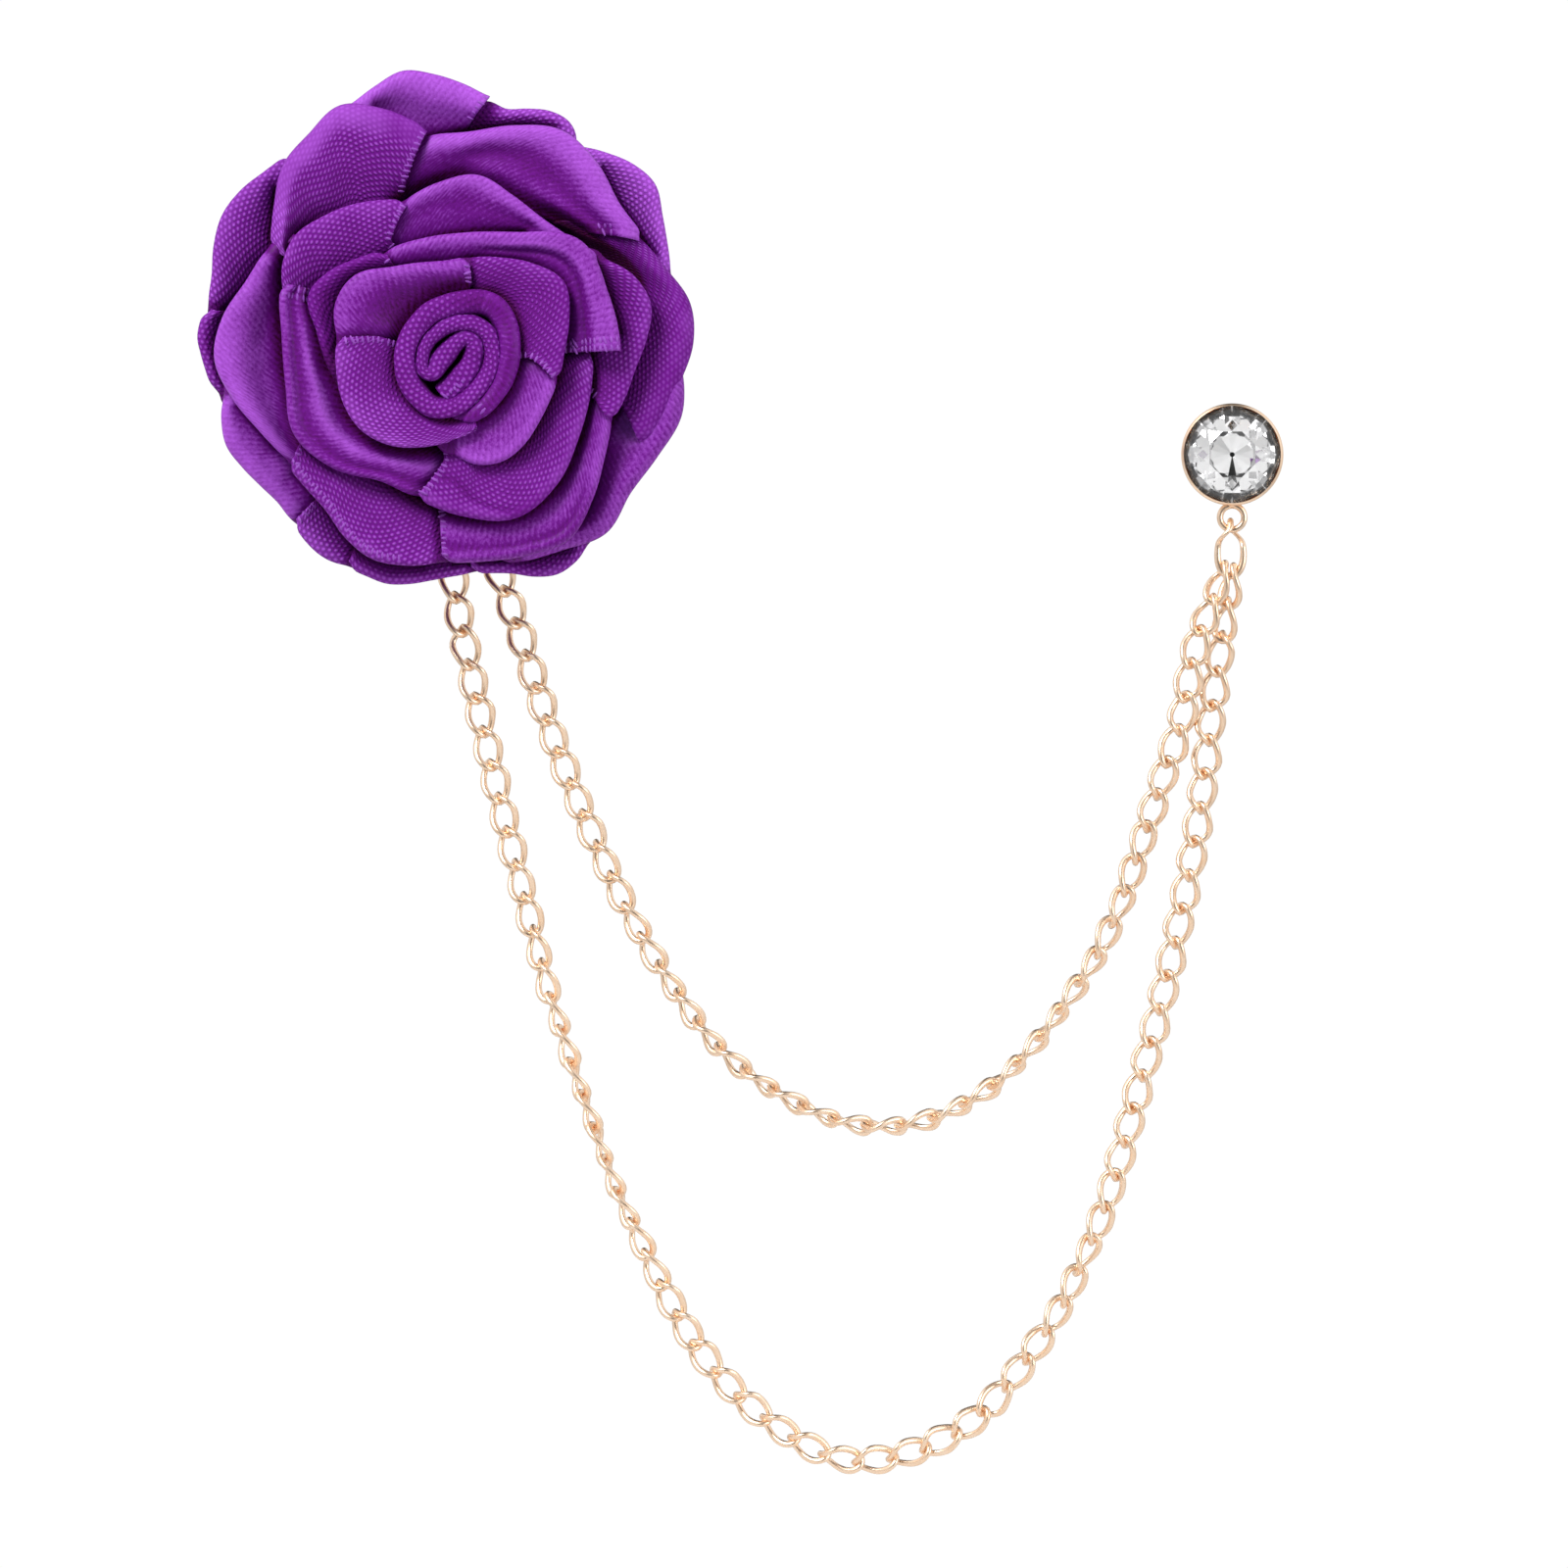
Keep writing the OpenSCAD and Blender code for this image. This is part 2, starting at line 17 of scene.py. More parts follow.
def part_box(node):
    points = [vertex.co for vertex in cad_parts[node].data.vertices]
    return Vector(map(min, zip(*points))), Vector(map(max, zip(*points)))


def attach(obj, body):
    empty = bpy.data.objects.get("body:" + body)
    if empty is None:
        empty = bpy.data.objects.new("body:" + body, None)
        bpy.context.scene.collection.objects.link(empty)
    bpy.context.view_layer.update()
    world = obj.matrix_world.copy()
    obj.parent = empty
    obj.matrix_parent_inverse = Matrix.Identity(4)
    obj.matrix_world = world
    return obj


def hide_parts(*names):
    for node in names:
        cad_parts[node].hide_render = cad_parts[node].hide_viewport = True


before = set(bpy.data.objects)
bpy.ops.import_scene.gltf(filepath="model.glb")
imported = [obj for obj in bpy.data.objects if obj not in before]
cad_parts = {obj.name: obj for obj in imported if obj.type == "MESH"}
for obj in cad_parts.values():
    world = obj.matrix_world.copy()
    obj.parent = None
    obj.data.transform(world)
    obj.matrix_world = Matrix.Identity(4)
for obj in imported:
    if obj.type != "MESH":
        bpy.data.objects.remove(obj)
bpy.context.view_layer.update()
scene = bpy.context.scene
MM = 0.001


def fresh(operator, name, **settings):
    """A new primitive with a name, alone in the selection."""
    bpy.ops.object.select_all(action="DESELECT")
    operator(**settings)
    made = bpy.context.active_object
    made.name = name
    return made


# %% [markdown]
# ## Camera
#
# The rose is seen straight from the front, with almost no perspective, as a long lens far away sees it. The
# picture is square. Its middle and its width are given in pixels of a 1600 pixel frame, and one scale turns
# them into millimetres, so the same scale places whatever else was read off that frame. Light may bounce more
# often than is usual, because inside a cut stone and between gold links it does.

# %% Camera
FRAME_PX = 1600
ORIGIN_PX = (463, 365)
PX = 0.0889
CAMERA_FAR = 5000
SENSOR = 36


def from_px(x, y):
    """The place in millimetres, to the right and up, of a pixel of the square frame."""
    return (x - ORIGIN_PX[0]) * PX, (ORIGIN_PX[1] - y) * PX


middle_x, middle_z = from_px(FRAME_PX / 2, FRAME_PX / 2)
camera_data = bpy.data.cameras.new("camera")
camera_data.sensor_width = SENSOR
camera_data.lens = SENSOR * CAMERA_FAR / (FRAME_PX * PX)
camera_data.clip_end = 4 * CAMERA_FAR * MM
camera = bpy.data.objects.new("camera", camera_data)
camera.location = (middle_x * MM, -CAMERA_FAR * MM, middle_z * MM)
camera.rotation_euler = (math.radians(90), 0, 0)
scene.collection.objects.link(camera)
scene.camera = camera
scene.view_settings.view_transform = "Standard"
scene.cycles.max_bounces = 24
scene.cycles.glossy_bounces = 20
scene.cycles.transmission_bounces = 20
print("lens:", round(camera_data.lens), "mm; frame:", round(FRAME_PX * PX, 1), "mm wide")

# %% [markdown]
# ## Writing materials as sums
#
# A pattern in a material is arithmetic on coordinates, and it reads best as arithmetic. The class below wraps
# one output of a node. Plus, minus, times and the like on it add the Math nodes, and its method node adds any
# other kind of node, with its settings first and then what goes into its sockets.

# %% The class for material sums


class Field:
    """One output of a material's nodes, on which sums can be written."""

    def __init__(self, tree, socket=None):
        self.tree = tree
        self.socket = socket

    def node(self, kind, settings=None, inputs=None, output=0):
        made = self.tree.nodes.new(kind)
        for key, value in (settings or {}).items():
            if key == "stops":
                while len(made.color_ramp.elements) < len(value):
                    made.color_ramp.elements.new(1.0)
                for stop, (place, colour) in zip(made.color_ramp.elements, value):
                    stop.position = place
                    stop.color = colour
            else:
                setattr(made, key, value)
        for place, value in (inputs or {}).items():
            if isinstance(value, Field):
                self.tree.links.new(value.socket, made.inputs[place])
            else:
                made.inputs[place].default_value = value
        return Field(self.tree, made.outputs[output] if made.outputs else None)

    def sum(self, operation, *others):
        return self.node("ShaderNodeMath", {"operation": operation}, dict(enumerate((self, *others))))

    def __add__(self, other):
        return self.sum("ADD", other)

    def __radd__(self, other):
        return self.sum("ADD", other)

    def __sub__(self, other):
        return self.sum("SUBTRACT", other)

    def __rsub__(self, other):
        return self.node("ShaderNodeMath", {"operation": "SUBTRACT"}, {0: other, 1: self})

    def __mul__(self, other):
        return self.sum("MULTIPLY", other)

    def __rmul__(self, other):
        return self.sum("MULTIPLY", other)

    def part(self, i):
        """One of the three parts of a vector."""
        return self.node("ShaderNodeSeparateXYZ", None, {0: self}, i)

    def mapped(self, low, high, first, last):
        """From first to last, as this field goes from low to high."""
        return self.node("ShaderNodeMapRange", None, {0: self, 1: low, 2: high, 3: first, 4: last})

    def noise(self, scale, detail, roughness=0.5):
        """Cloudy noise from 0 to 1, at the place that this field says."""
        inputs = {"Vector": self, "Scale": scale, "Detail": detail, "Roughness": roughness}
        return self.node("ShaderNodeTexNoise", None, inputs)

    def clamp(self):
        return self.node("ShaderNodeClamp", None, {0: self})

    def mixed(self, low, high):
        """A colour between low and high, by this field from 0 to 1."""
        return self.node("ShaderNodeMix", {"data_type": "RGBA"}, {0: self, 6: low, 7: high}, 2)


def new_material(name, **constants):
    """A material with one Principled shader. Its constants are set on the shader's own sockets."""
    made = bpy.data.materials.new(name)
    made.use_nodes = True
    shader = made.node_tree.nodes["Principled BSDF"]
    for socket, value in constants.items():
        shader.inputs[socket.replace("_", " ")].default_value = value
    return made, Field(made.node_tree), shader


def feed(shader, socket, field):
    """Joins a field to one of the shader's sockets."""
    field.tree.links.new(field.socket, shader.inputs[socket])


def linear(red, green, blue):
    """A colour on screen, from 0 to 255, as the shader's own linear values."""
    parts = [c / 255 for c in (red, green, blue)]
    return (*(c / 12.92 if c < 0.04045 else ((c + 0.055) / 1.055) ** 2.4 for c in parts), 1)


print("materials can be written as sums")

# %% [markdown]
# ## Light and floor
#
# Small bright jewellery is lit in a white tent: light from all round, a small dark spot in front where the
# camera looks in, and a dim strip from front to back over the top and under the piece, where the tent's two
# walls leave a gap. Metal and cut stone need the spot and the strip, because they show only what they
# reflect. The tent is the world's colour, read along the direction of each ray. Rays that go straight to the
# camera see plain white. Two soft boxes, from the upper left and weaker from the right, shade the ribbon's
# folds. A pale floor lies below, outside the picture.

# %% Light and floor
FLOOR_DROP = 131
FLOOR_SIZE = 260
LIT_MIDDLE = (30, 0, -40)
# How bright the tent is, from the spot that the camera looks in from, at 0, round to behind the piece, at 1
SPOT = [(0.0, 0.02), (0.017, 0.04), (0.042, 0.66), (0.22, 0.82), (0.42, 1.0), (1.0, 0.85)]
STRIP_LIGHT = 0.03
BACKDROP_LIGHT = 1.02


def soft_light(name, place, size, watts):
    """A square soft box at a place in millimetres that looks at the piece."""
    data = bpy.data.lights.new(name, "AREA")
    data.size = size * MM
    data.energy = watts
    lamp = bpy.data.objects.new(name, data)
    lamp.location = Vector(place) * MM
    lamp.rotation_euler = (Vector(LIT_MIDDLE) * MM - lamp.location).to_track_quat("-Z", "Y").to_euler()
    scene.collection.objects.link(lamp)


soft_light("key", (-420, -560, 620), 340, 7.1)
soft_light("fill", (680, -520, 60), 420, 2.0)

world = bpy.data.worlds.new("tent")
scene.world = world
world.use_nodes = True
world.node_tree.nodes.clear()
sky = Field(world.node_tree)
toward = sky.node("ShaderNodeTexCoord")
side, ahead, up = (toward.part(i) for i in range(3))
stops = [(place, (grey, grey, grey, 1)) for place, grey in SPOT]
spot = sky.node("ShaderNodeValToRGB", {"stops": stops}, {0: ahead * 0.5 + 0.5})
from_strip = side.sum("ABSOLUTE").mapped(0.16, 0.36, STRIP_LIGHT, 1.0)
overhead = up.sum("ABSOLUTE").mapped(0.14, 0.34, 0.0, 1.0)
strip = 1 - overhead * (1 - from_strip)
rise = up.mapped(-0.9, 0.6, 0.55, 1.0)
glow = spot.part(0) * strip * rise
tent = sky.node("ShaderNodeBackground", None, {0: (1, 1, 1, 1), 1: glow})
plain = sky.node("ShaderNodeBackground", None, {0: (1, 1, 1, 1), 1: BACKDROP_LIGHT})
seen = sky.node("ShaderNodeLightPath")
either = sky.node("ShaderNodeMixShader", None, {0: seen, 1: tent, 2: plain})
sky.node("ShaderNodeOutputWorld", None, {0: either})

floor_at = (LIT_MIDDLE[0] * MM, 0, -FLOOR_DROP * MM)
floor = fresh(bpy.ops.mesh.primitive_plane_add, "floor", size=FLOOR_SIZE * MM, location=floor_at)
print("floor", FLOOR_DROP, "mm below the rose's post")

# %% [markdown]
# ## Ribbon
#
# Satin ribbon has two faces. The dull one shows the weave: small light dots, a little over half a millimetre
# apart, each row shifted by half a step, on a darker ground. The glossy one is smoother, with short fine
# streaks along the threads. Both patterns are drawn on the ribbon's own UV map, whose unit is a millimetre
# of ribbon, so they run along each fold and bend with it. They stand up as a bump as well, because they
# catch the light. Specular light is kept low on both: cloth this dark would turn grey in its folds.
#
# A second UV map holds painted light and shade, by how open each spot lies: 0 deep in a fold, 1 on a rim.
# One colour ramp over that map paints the shade in the folds deeper and redder, as light comes out there
# after bouncing from purple to purple, and paints the rims paler, as a painted highlight.

# %% Ribbon materials
DOT_STEP = 0.56
ROW_STEP = 0.42
STREAK_STEP = 0.50
RIB_STEP = 0.34
# Painted shade deep in the folds, the middle colour, and a painted highlight on the rims
FOLD_DEEP = linear(60, 0, 44)
FOLD_MIDDLE = linear(113, 22, 142)
FOLD_RIM = linear(184, 94, 226)
SHEEN_TINT = linear(206, 130, 240)


def ribbon_coordinates(field):
    """Millimetres along and across the ribbon, painted light and shade by how open it lies, and how plain its
    weave looks.
    """
    ribbon, fold = (field.node("ShaderNodeUVMap", {"uv_map": name}) for name in ("ribbon", "fold"))
    return ribbon.part(0), ribbon.part(1), fold.part(0), fold.part(1)


def cloudy(field, scale, low, high):
    """A slow unevenness between low and high, over the object's own coordinates."""
    return field.node("ShaderNodeTexCoord", None, None, 3).noise(scale, 2.0) * (high - low) + low


def fold_colour(field, amount):
    """The ribbon's colour with painted light and shade, by how open it lies and how much light its threads
    catch.
    """
    stops = [(0.0, FOLD_DEEP), (0.55, FOLD_MIDDLE), (1.0, FOLD_RIM)]
    return field.node("ShaderNodeValToRGB", {"stops": stops}, {0: amount})


def weave_material(name, tone):
    """The ribbon's dull side, with its dots. Tone makes it lighter or darker all over."""
    made, field, shader = new_material(
        name, Roughness=0.6, Specular_IOR_Level=0.08, Sheen_Weight=0.05, Sheen_Roughness=0.4
    )
    shader.inputs["Sheen Tint"].default_value = SHEEN_TINT
    along, across, open_by, plain = ribbon_coordinates(field)
    rows = across * (1 / ROW_STEP)
    row = rows.sum("FLOOR")
    off_row = (rows - row - 0.5) * ROW_STEP
    shift = row.sum("FLOORED_MODULO", 2.0) * 0.5
    off_dot = ((along * (1 / DOT_STEP) + shift).sum("FRACT") - 0.5) * DOT_STEP
    far = off_dot * off_dot * 20.0 + off_row * off_row * 30.0
    dot = (1.0 - far).clamp() * (1.0 - plain)
    rib = (along * (2 * math.pi / RIB_STEP)).sum("SINE") * (1.15 - open_by)
    # Painted light and shade by how open the spot lies, with the dots fading where it is painted dark
    light = open_by * 0.53 + dot * 0.38 * open_by * open_by + rib * 0.04 + plain * 0.08
    light = light + cloudy(field, 420.0, -0.14, 0.08) + tone
    feed(shader, "Base Color", fold_colour(field, light.clamp()))
    bump = dot.node("ShaderNodeBump", None, {"Strength": 0.9, "Distance": 0.00013, "Height": dot})
    feed(shader, "Normal", bump)
    return made


def satin_material(name, tone):
    """The ribbon's glossy side. Its threads lean at 30 degrees, and the light some ribs of them catch is
    painted as a sheen.
    """
    made, field, shader = new_material(
        name, Roughness=0.46, Specular_IOR_Level=0.12, Sheen_Weight=0.08, Sheen_Roughness=0.35
    )
    shader.inputs["Sheen Tint"].default_value = SHEEN_TINT
    along, across, open_by, plain = ribbon_coordinates(field)
    lean = along * 0.87 - across * 0.5
    run = along * 0.5 + across * 0.87
    thread = field.node("ShaderNodeCombineXYZ", None, {0: lean * 3.6, 1: run * 2.6}).noise(1.0, 3.0, 0.6)
    broken = field.node("ShaderNodeCombineXYZ", None, {0: lean * 0.9, 1: run * 0.7, 2: 7.0}).noise(1.0, 1.0)
    rib = ((lean + thread * 0.3) * (2 * math.pi / STREAK_STEP)).sum("SINE")
    thread = (thread + rib * broken * 0.17 - 0.22).clamp()
    # Painted sheen on the threads, stronger where the ribbon is painted darker, over painted light and shade
    # by how open it lies
    gleam = (thread - 0.28) * (1.3 - open_by * 0.5) * 0.74
    light = open_by * 0.64 + gleam + cloudy(field, 300.0, -0.10, 0.10) + tone
    feed(shader, "Base Color", fold_colour(field, light.clamp()))
    bump = thread.node("ShaderNodeBump", None, {"Strength": 0.5, "Distance": 0.00008, "Height": thread})
    feed(shader, "Normal", bump)
    return made


def edge_material():
    """The selvedge's loops, paler than the ribbon and uneven."""
    made, field, shader = new_material("ribbon_edge_loops", Roughness=0.5, Specular_IOR_Level=0.35)
    light = cloudy(field, 900.0, 0.0, 1.0)
    feed(shader, "Base Color", light.mixed(linear(118, 42, 156), linear(172, 94, 210)))
    return made


WEAVE = weave_material("ribbon_weave", 0.06)
SATIN = satin_material("ribbon_satin", 0.06)
EDGE = edge_material()
INSIDE = satin_material("ribbon_inside", -0.02)
print("ribbon:", WEAVE.name, SATIN.name, EDGE.name, INSIDE.name)

# %% [markdown]
# ## Curves and sheets
#
# A petal is a length of ribbon folded over along its middle, so its section is a hairpin: up the front, round
# the fold, down the back. A grid is the right start for it, because its rows can follow the hairpin and its
# columns the petal's outline. Each point of the grid is put in its place by a formula, and a Solidify
# modifier then gives the ribbon its thickness. The grid's own UV map is set to millimetres of ribbon. A petal
# fans out towards its rim, but ribbon is straight, so most of that fanning is taken out of the map again. Two
# more maps hold each spot's painted light and shade and how plain it is, and how far along the ribbon it
# lies.

# %% Curves and sheets


def curve(values, t):
    """A smooth curve through evenly spaced values, from t = 0 to 1."""
    last = len(values) - 1
    i = min(last - 1, int(t * last))
    f = t * last - i
    a, b, c, d = (values[max(0, min(last, i + k))] for k in (-1, 0, 1, 2))
    return b + ((c - a) * f + (2 * a - 5 * b + 4 * c - d) * f * f + (3 * b - a - 3 * c + d) * f**3) / 2


def mix(a, b, t):
    """a at t = 0, b at t = 1."""
    return a + (b - a) * t


def clamped(t):
    """t, kept from 0 to 1."""
    return max(0, min(1, t))


def smooth(low, high, x):
    """0 below low, 1 above high, and an even rise between them."""
    f = clamped((x - low) / (high - low))
    return f * f * (3 - 2 * f)


# How far a petal's threads are from fanning out with it, 0, to keeping one spacing all over it, 1
STRAIGHTEN = 0.65
# Where the UV maps start, in millimetres, so that all of a sheet lies above 0
UV_START = 40


def sheet_from(name, rows, opens, plains, grain=0.0, wall=0.2, crest=None):
    """A sheet of ribbon through rows of points in millimetres, thickened to wall, with its UV map in
    millimetres. Opens gives each point's painted light and shade, by how open it lies, and plains how little
    of its weave shows. Grain turns the weave, in degrees. With a crest, the threads are measured from that
    column and from the middle row.
    Without it, they follow the sheet's middle."""
    rows = np.array(rows)
    tall, wide = rows.shape[0], rows.shape[1]
    cells = {"x_subdivisions": wide - 1, "y_subdivisions": tall - 1}
    piece = fresh(bpy.ops.mesh.primitive_grid_add, name, size=2, **cells)
    mesh = piece.data
    assert len(mesh.vertices) == tall * wide, (name, len(mesh.vertices), tall, wide)
    mesh.vertices.foreach_set("co", (rows * MM).reshape(-1))
    across = np.linalg.norm(np.diff(rows, axis=1), axis=2).mean(axis=0)
    across = np.concatenate(([0], np.cumsum(across)))
    middle = rows[:, wide // 2]
    along = np.concatenate(([0], np.cumsum(np.linalg.norm(np.diff(middle, axis=0), axis=1))))
    threads, wefts = np.meshgrid(along, across, indexing="ij")
    if crest is not None:
        straight = np.zeros((tall, wide))
        straight[1:] = np.cumsum(np.linalg.norm(np.diff(rows, axis=0), axis=2), axis=0)
        threads = mix(threads - threads[tall // 2], straight - straight[tall // 2], STRAIGHTEN)
        wefts[:, 1:] = np.cumsum(np.linalg.norm(np.diff(rows, axis=1), axis=2), axis=1)
        wefts -= wefts[:, crest : crest + 1].copy()
    turn = math.radians(grain)
    u = threads * math.cos(turn) + wefts * math.sin(turn) + UV_START
    v = wefts * math.cos(turn) - threads * math.sin(turn) + UV_START
    corner = np.empty(len(mesh.loops), dtype=np.int32)
    mesh.loops.foreach_get("vertex_index", corner)
    run = np.repeat((along / along[-1])[:, None], wide, axis=1)
    maps = {"ribbon": (u, v), "fold": (np.clip(np.array(opens), 0, 1.6), np.array(plains)), "run": (run, run)}
    mesh.uv_layers[0].name = "ribbon"
    for map_name, parts in maps.items():
        layer = mesh.uv_layers.get(map_name) or mesh.uv_layers.new(name=map_name)
        layer.data.foreach_set("uv", np.stack(parts, axis=2).reshape(-1, 2)[corner].reshape(-1))
    mesh.update()
    bpy.ops.object.modifier_add(type="SOLIDIFY")
    thick = piece.modifiers[-1]
    thick.thickness = wall * MM
    thick.offset = 0
    bpy.ops.object.modifier_apply(modifier=thick.name)
    bpy.ops.object.shade_smooth()
    return piece, float(along[-1]), float(across[-1])


def joined(pieces, name):
    """One object out of several."""
    bpy.ops.object.select_all(action="DESELECT")
    for piece in pieces:
        piece.select_set(True)
    bpy.context.view_layer.objects.active = pieces[0]
    if len(pieces) > 1:
        bpy.ops.object.join()
    pieces[0].name = name
    return pieces[0]


def paint(piece, *materials):
    """Gives a piece these materials and no others."""
    piece.data.materials.clear()
    for material in materials:
        piece.data.materials.append(material)


def dress(piece, node, slot, *materials):
    """Gives a finished piece its materials, if it has none yet, and puts it in the place of its solid."""
    if materials:
        paint(piece, *materials)
    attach(piece, "root")
    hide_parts(node)


def compare(node, piece):
    """Prints how large a solid is, and the finished piece that stands for it, in millimetres."""
    low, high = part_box(node)
    sizes = [[round(c / MM, 2) for c in box] for box in (high - low, piece.dimensions)]
    print(piece.name, "solid", sizes[0], "finished", sizes[1])


print("sheets can be made")

# %% [markdown]
# ## The rose's petals
#
# The rose has twenty-seven petals in five rings. The first table below gives each one's finish, its bearings
# in degrees at the rim and at the root, and the height of its rim, as a share of the rose's. The second
# gives its outline: seven distances from the post, as shares of the rose's radius. Where one petal ends, its
# selvedge lies on the next one, which starts underneath. The last two columns say how each end is finished:
# tuck goes underneath and deep further down, over lies on top, loops lies on top and shows the selvedge's
# row of small loops, and free stands a little off what is below.

# %% Petal table
ROSE_R = 22.5
ROSE_H = 16
# Each ring's root: its distance from the post and its height, as shares of the rose's
SEATS = {1: (0.31, 0.650), 2: (0.42, 0.590), 3: (0.53, 0.510), 4: (0.64, 0.415), 5: (0.70, 0.335)}

PETALS = [
    # name, finish, rim from, rim to, root from, root to, top from, top to, start, end
    ("1a", "weave", 266, 170.5, 289, 165, 0.95, 0.98, "over", "loops"),
    ("1b", "satin", 170.5, 80, 165, 76, 0.95, 0.98, "tuck", "loops"),
    ("1c", "weave", 80, -12.5, 76, -1, 0.95, 0.98, "tuck", "loops"),
    ("1d", "satin", -12.5, -89, -1, -92, 0.95, 0.91, "tuck", "tuck"),
    ("2a", "weave", 192, 123, 192, 123, 0.84, 0.90, "tuck", "loops"),
    ("2b", "satin", 123, 2, 123, 2, 0.88, 0.93, "tuck", "free"),
    ("2c", "weave", 2, -104, 2, -95, 0.85, 0.90, "deep", "loops"),
    ("2d", "satin", 256, 156.3, 265, 151, 0.86, 0.88, "tuck", "loops"),
    ("3a", "weave", 160, 107, 168, 118, 0.78, 0.82, "tuck", "loops"),
    ("3b", "satin", 107, 33, 118, 33, 0.79, 0.82, "tuck", "over"),
    ("3c", "weave", 33, -22, 33, -12, 0.79, 0.82, "tuck", "loops"),
    ("3d", "satin", -22, -93, -12, -96, 0.79, 0.80, "tuck", "loops"),
    ("3e", "weave", 266, 213, 264, 200, 0.78, 0.80, "tuck", "loops"),
    ("4a", "satin", 211, 150, 226, 150, 0.68, 0.70, "tuck", "tuck"),
    ("4b", "weave", 149, 96.7, 150, 109, 0.68, 0.72, "over", "loops"),
    ("4c", "satin", 96.7, 32, 109, 49, 0.68, 0.72, "tuck", "loops"),
    ("4d", "weave", 32, -25, 49, -12, 0.67, 0.70, "tuck", "over"),
    ("4e", "satin", -3, -72, -8, -70, 0.67, 0.66, "tuck", "tuck"),
    ("5a", "satin", 118, 82, 122, 94, 0.54, 0.58, "tuck", "free"),
    ("5b", "weave", 87, 59.5, 96, 60, 0.54, 0.56, "deep", "over"),
    ("5c", "weave", 60, 21, 60, 19, 0.55, 0.58, "tuck", "tuck"),
    ("5d", "weave", -54, -85, -53, -86, 0.53, 0.55, "tuck", "over"),
    ("5e", "satin", -85, -117, -86, -118, 0.54, 0.56, "tuck", "over"),
    ("5f", "weave", 243, 226, 242, 226, 0.54, 0.56, "tuck", "loops"),
    ("5g", "satin", 226, 189, 226, 189, 0.54, 0.60, "tuck", "tuck"),
    ("5h", "weave", 189, 169, 189, 168, 0.53, 0.55, "tuck", "over"),
    ("5i", "weave", 168, 129, 167, 134, 0.54, 0.58, "tuck", "loops"),
]
RIMS = {
    "1a": (0.345, 0.385, 0.435, 0.470, 0.475, 0.468, 0.470),
    "1b": (0.475, 0.515, 0.508, 0.436, 0.398, 0.383, 0.400),
    "1c": (0.405, 0.437, 0.490, 0.535, 0.490, 0.447, 0.435),
    "1d": (0.430, 0.425, 0.433, 0.452, 0.463, 0.445, 0.400),
    "2a": (0.485, 0.515, 0.557, 0.628, 0.603, 0.549, 0.510),
    "2b": (0.500, 0.487, 0.500, 0.560, 0.690, 0.672, 0.672),
    "2c": (0.560, 0.570, 0.600, 0.660, 0.694, 0.640, 0.590),
    "2d": (0.580, 0.577, 0.656, 0.708, 0.679, 0.690, 0.747),
    "3a": (0.730, 0.778, 0.797, 0.768, 0.735, 0.695, 0.660),
    "3b": (0.660, 0.700, 0.734, 0.690, 0.660, 0.670, 0.715),
    "3c": (0.730, 0.795, 0.820, 0.780, 0.733, 0.710, 0.690),
    "3d": (0.690, 0.730, 0.800, 0.868, 0.850, 0.830, 0.825),
    "3e": (0.832, 0.858, 0.873, 0.845, 0.800, 0.790, 0.794),
    "4a": (0.790, 0.832, 0.900, 0.957, 0.938, 0.885, 0.866),
    "4b": (0.862, 0.935, 1.028, 1.066, 1.106, 1.030, 0.935),
    "4c": (0.895, 0.905, 0.960, 1.008, 0.970, 0.908, 0.904),
    "4d": (0.895, 0.925, 0.974, 0.965, 0.918, 0.880, 0.850),
    "4e": (0.925, 0.946, 0.912, 0.897, 0.936, 0.890, 0.868),
    "5a": (1.080, 1.095, 1.132, 1.166, 1.138, 1.098, 1.056),
    "5b": (1.000, 1.035, 1.018, 1.040, 1.060, 1.054, 1.008),
    "5c": (0.985, 1.022, 1.058, 1.066, 1.013, 0.970, 0.940),
    "5d": (0.930, 0.957, 0.966, 0.940, 0.900, 0.880, 0.872),
    "5e": (0.872, 0.880, 0.900, 0.927, 0.947, 0.945, 0.945),
    "5f": (0.945, 0.952, 0.957, 0.955, 0.948, 0.938, 0.928),
    "5g": (0.925, 0.914, 0.930, 0.955, 0.977, 0.963, 0.935),
    "5h": (0.955, 0.982, 0.998, 1.014, 1.029, 1.026, 1.014),
    "5i": (1.010, 1.022, 1.060, 1.088, 1.084, 1.062, 1.050),
}
COLUMNS = "name finish rim_from rim_to root_from root_to top_from top_to start end".split()
petals = [dict(zip(COLUMNS, row), ring=int(row[0][0]), rim=RIMS[row[0]]) for row in PETALS]
print(len(petals), "petals")
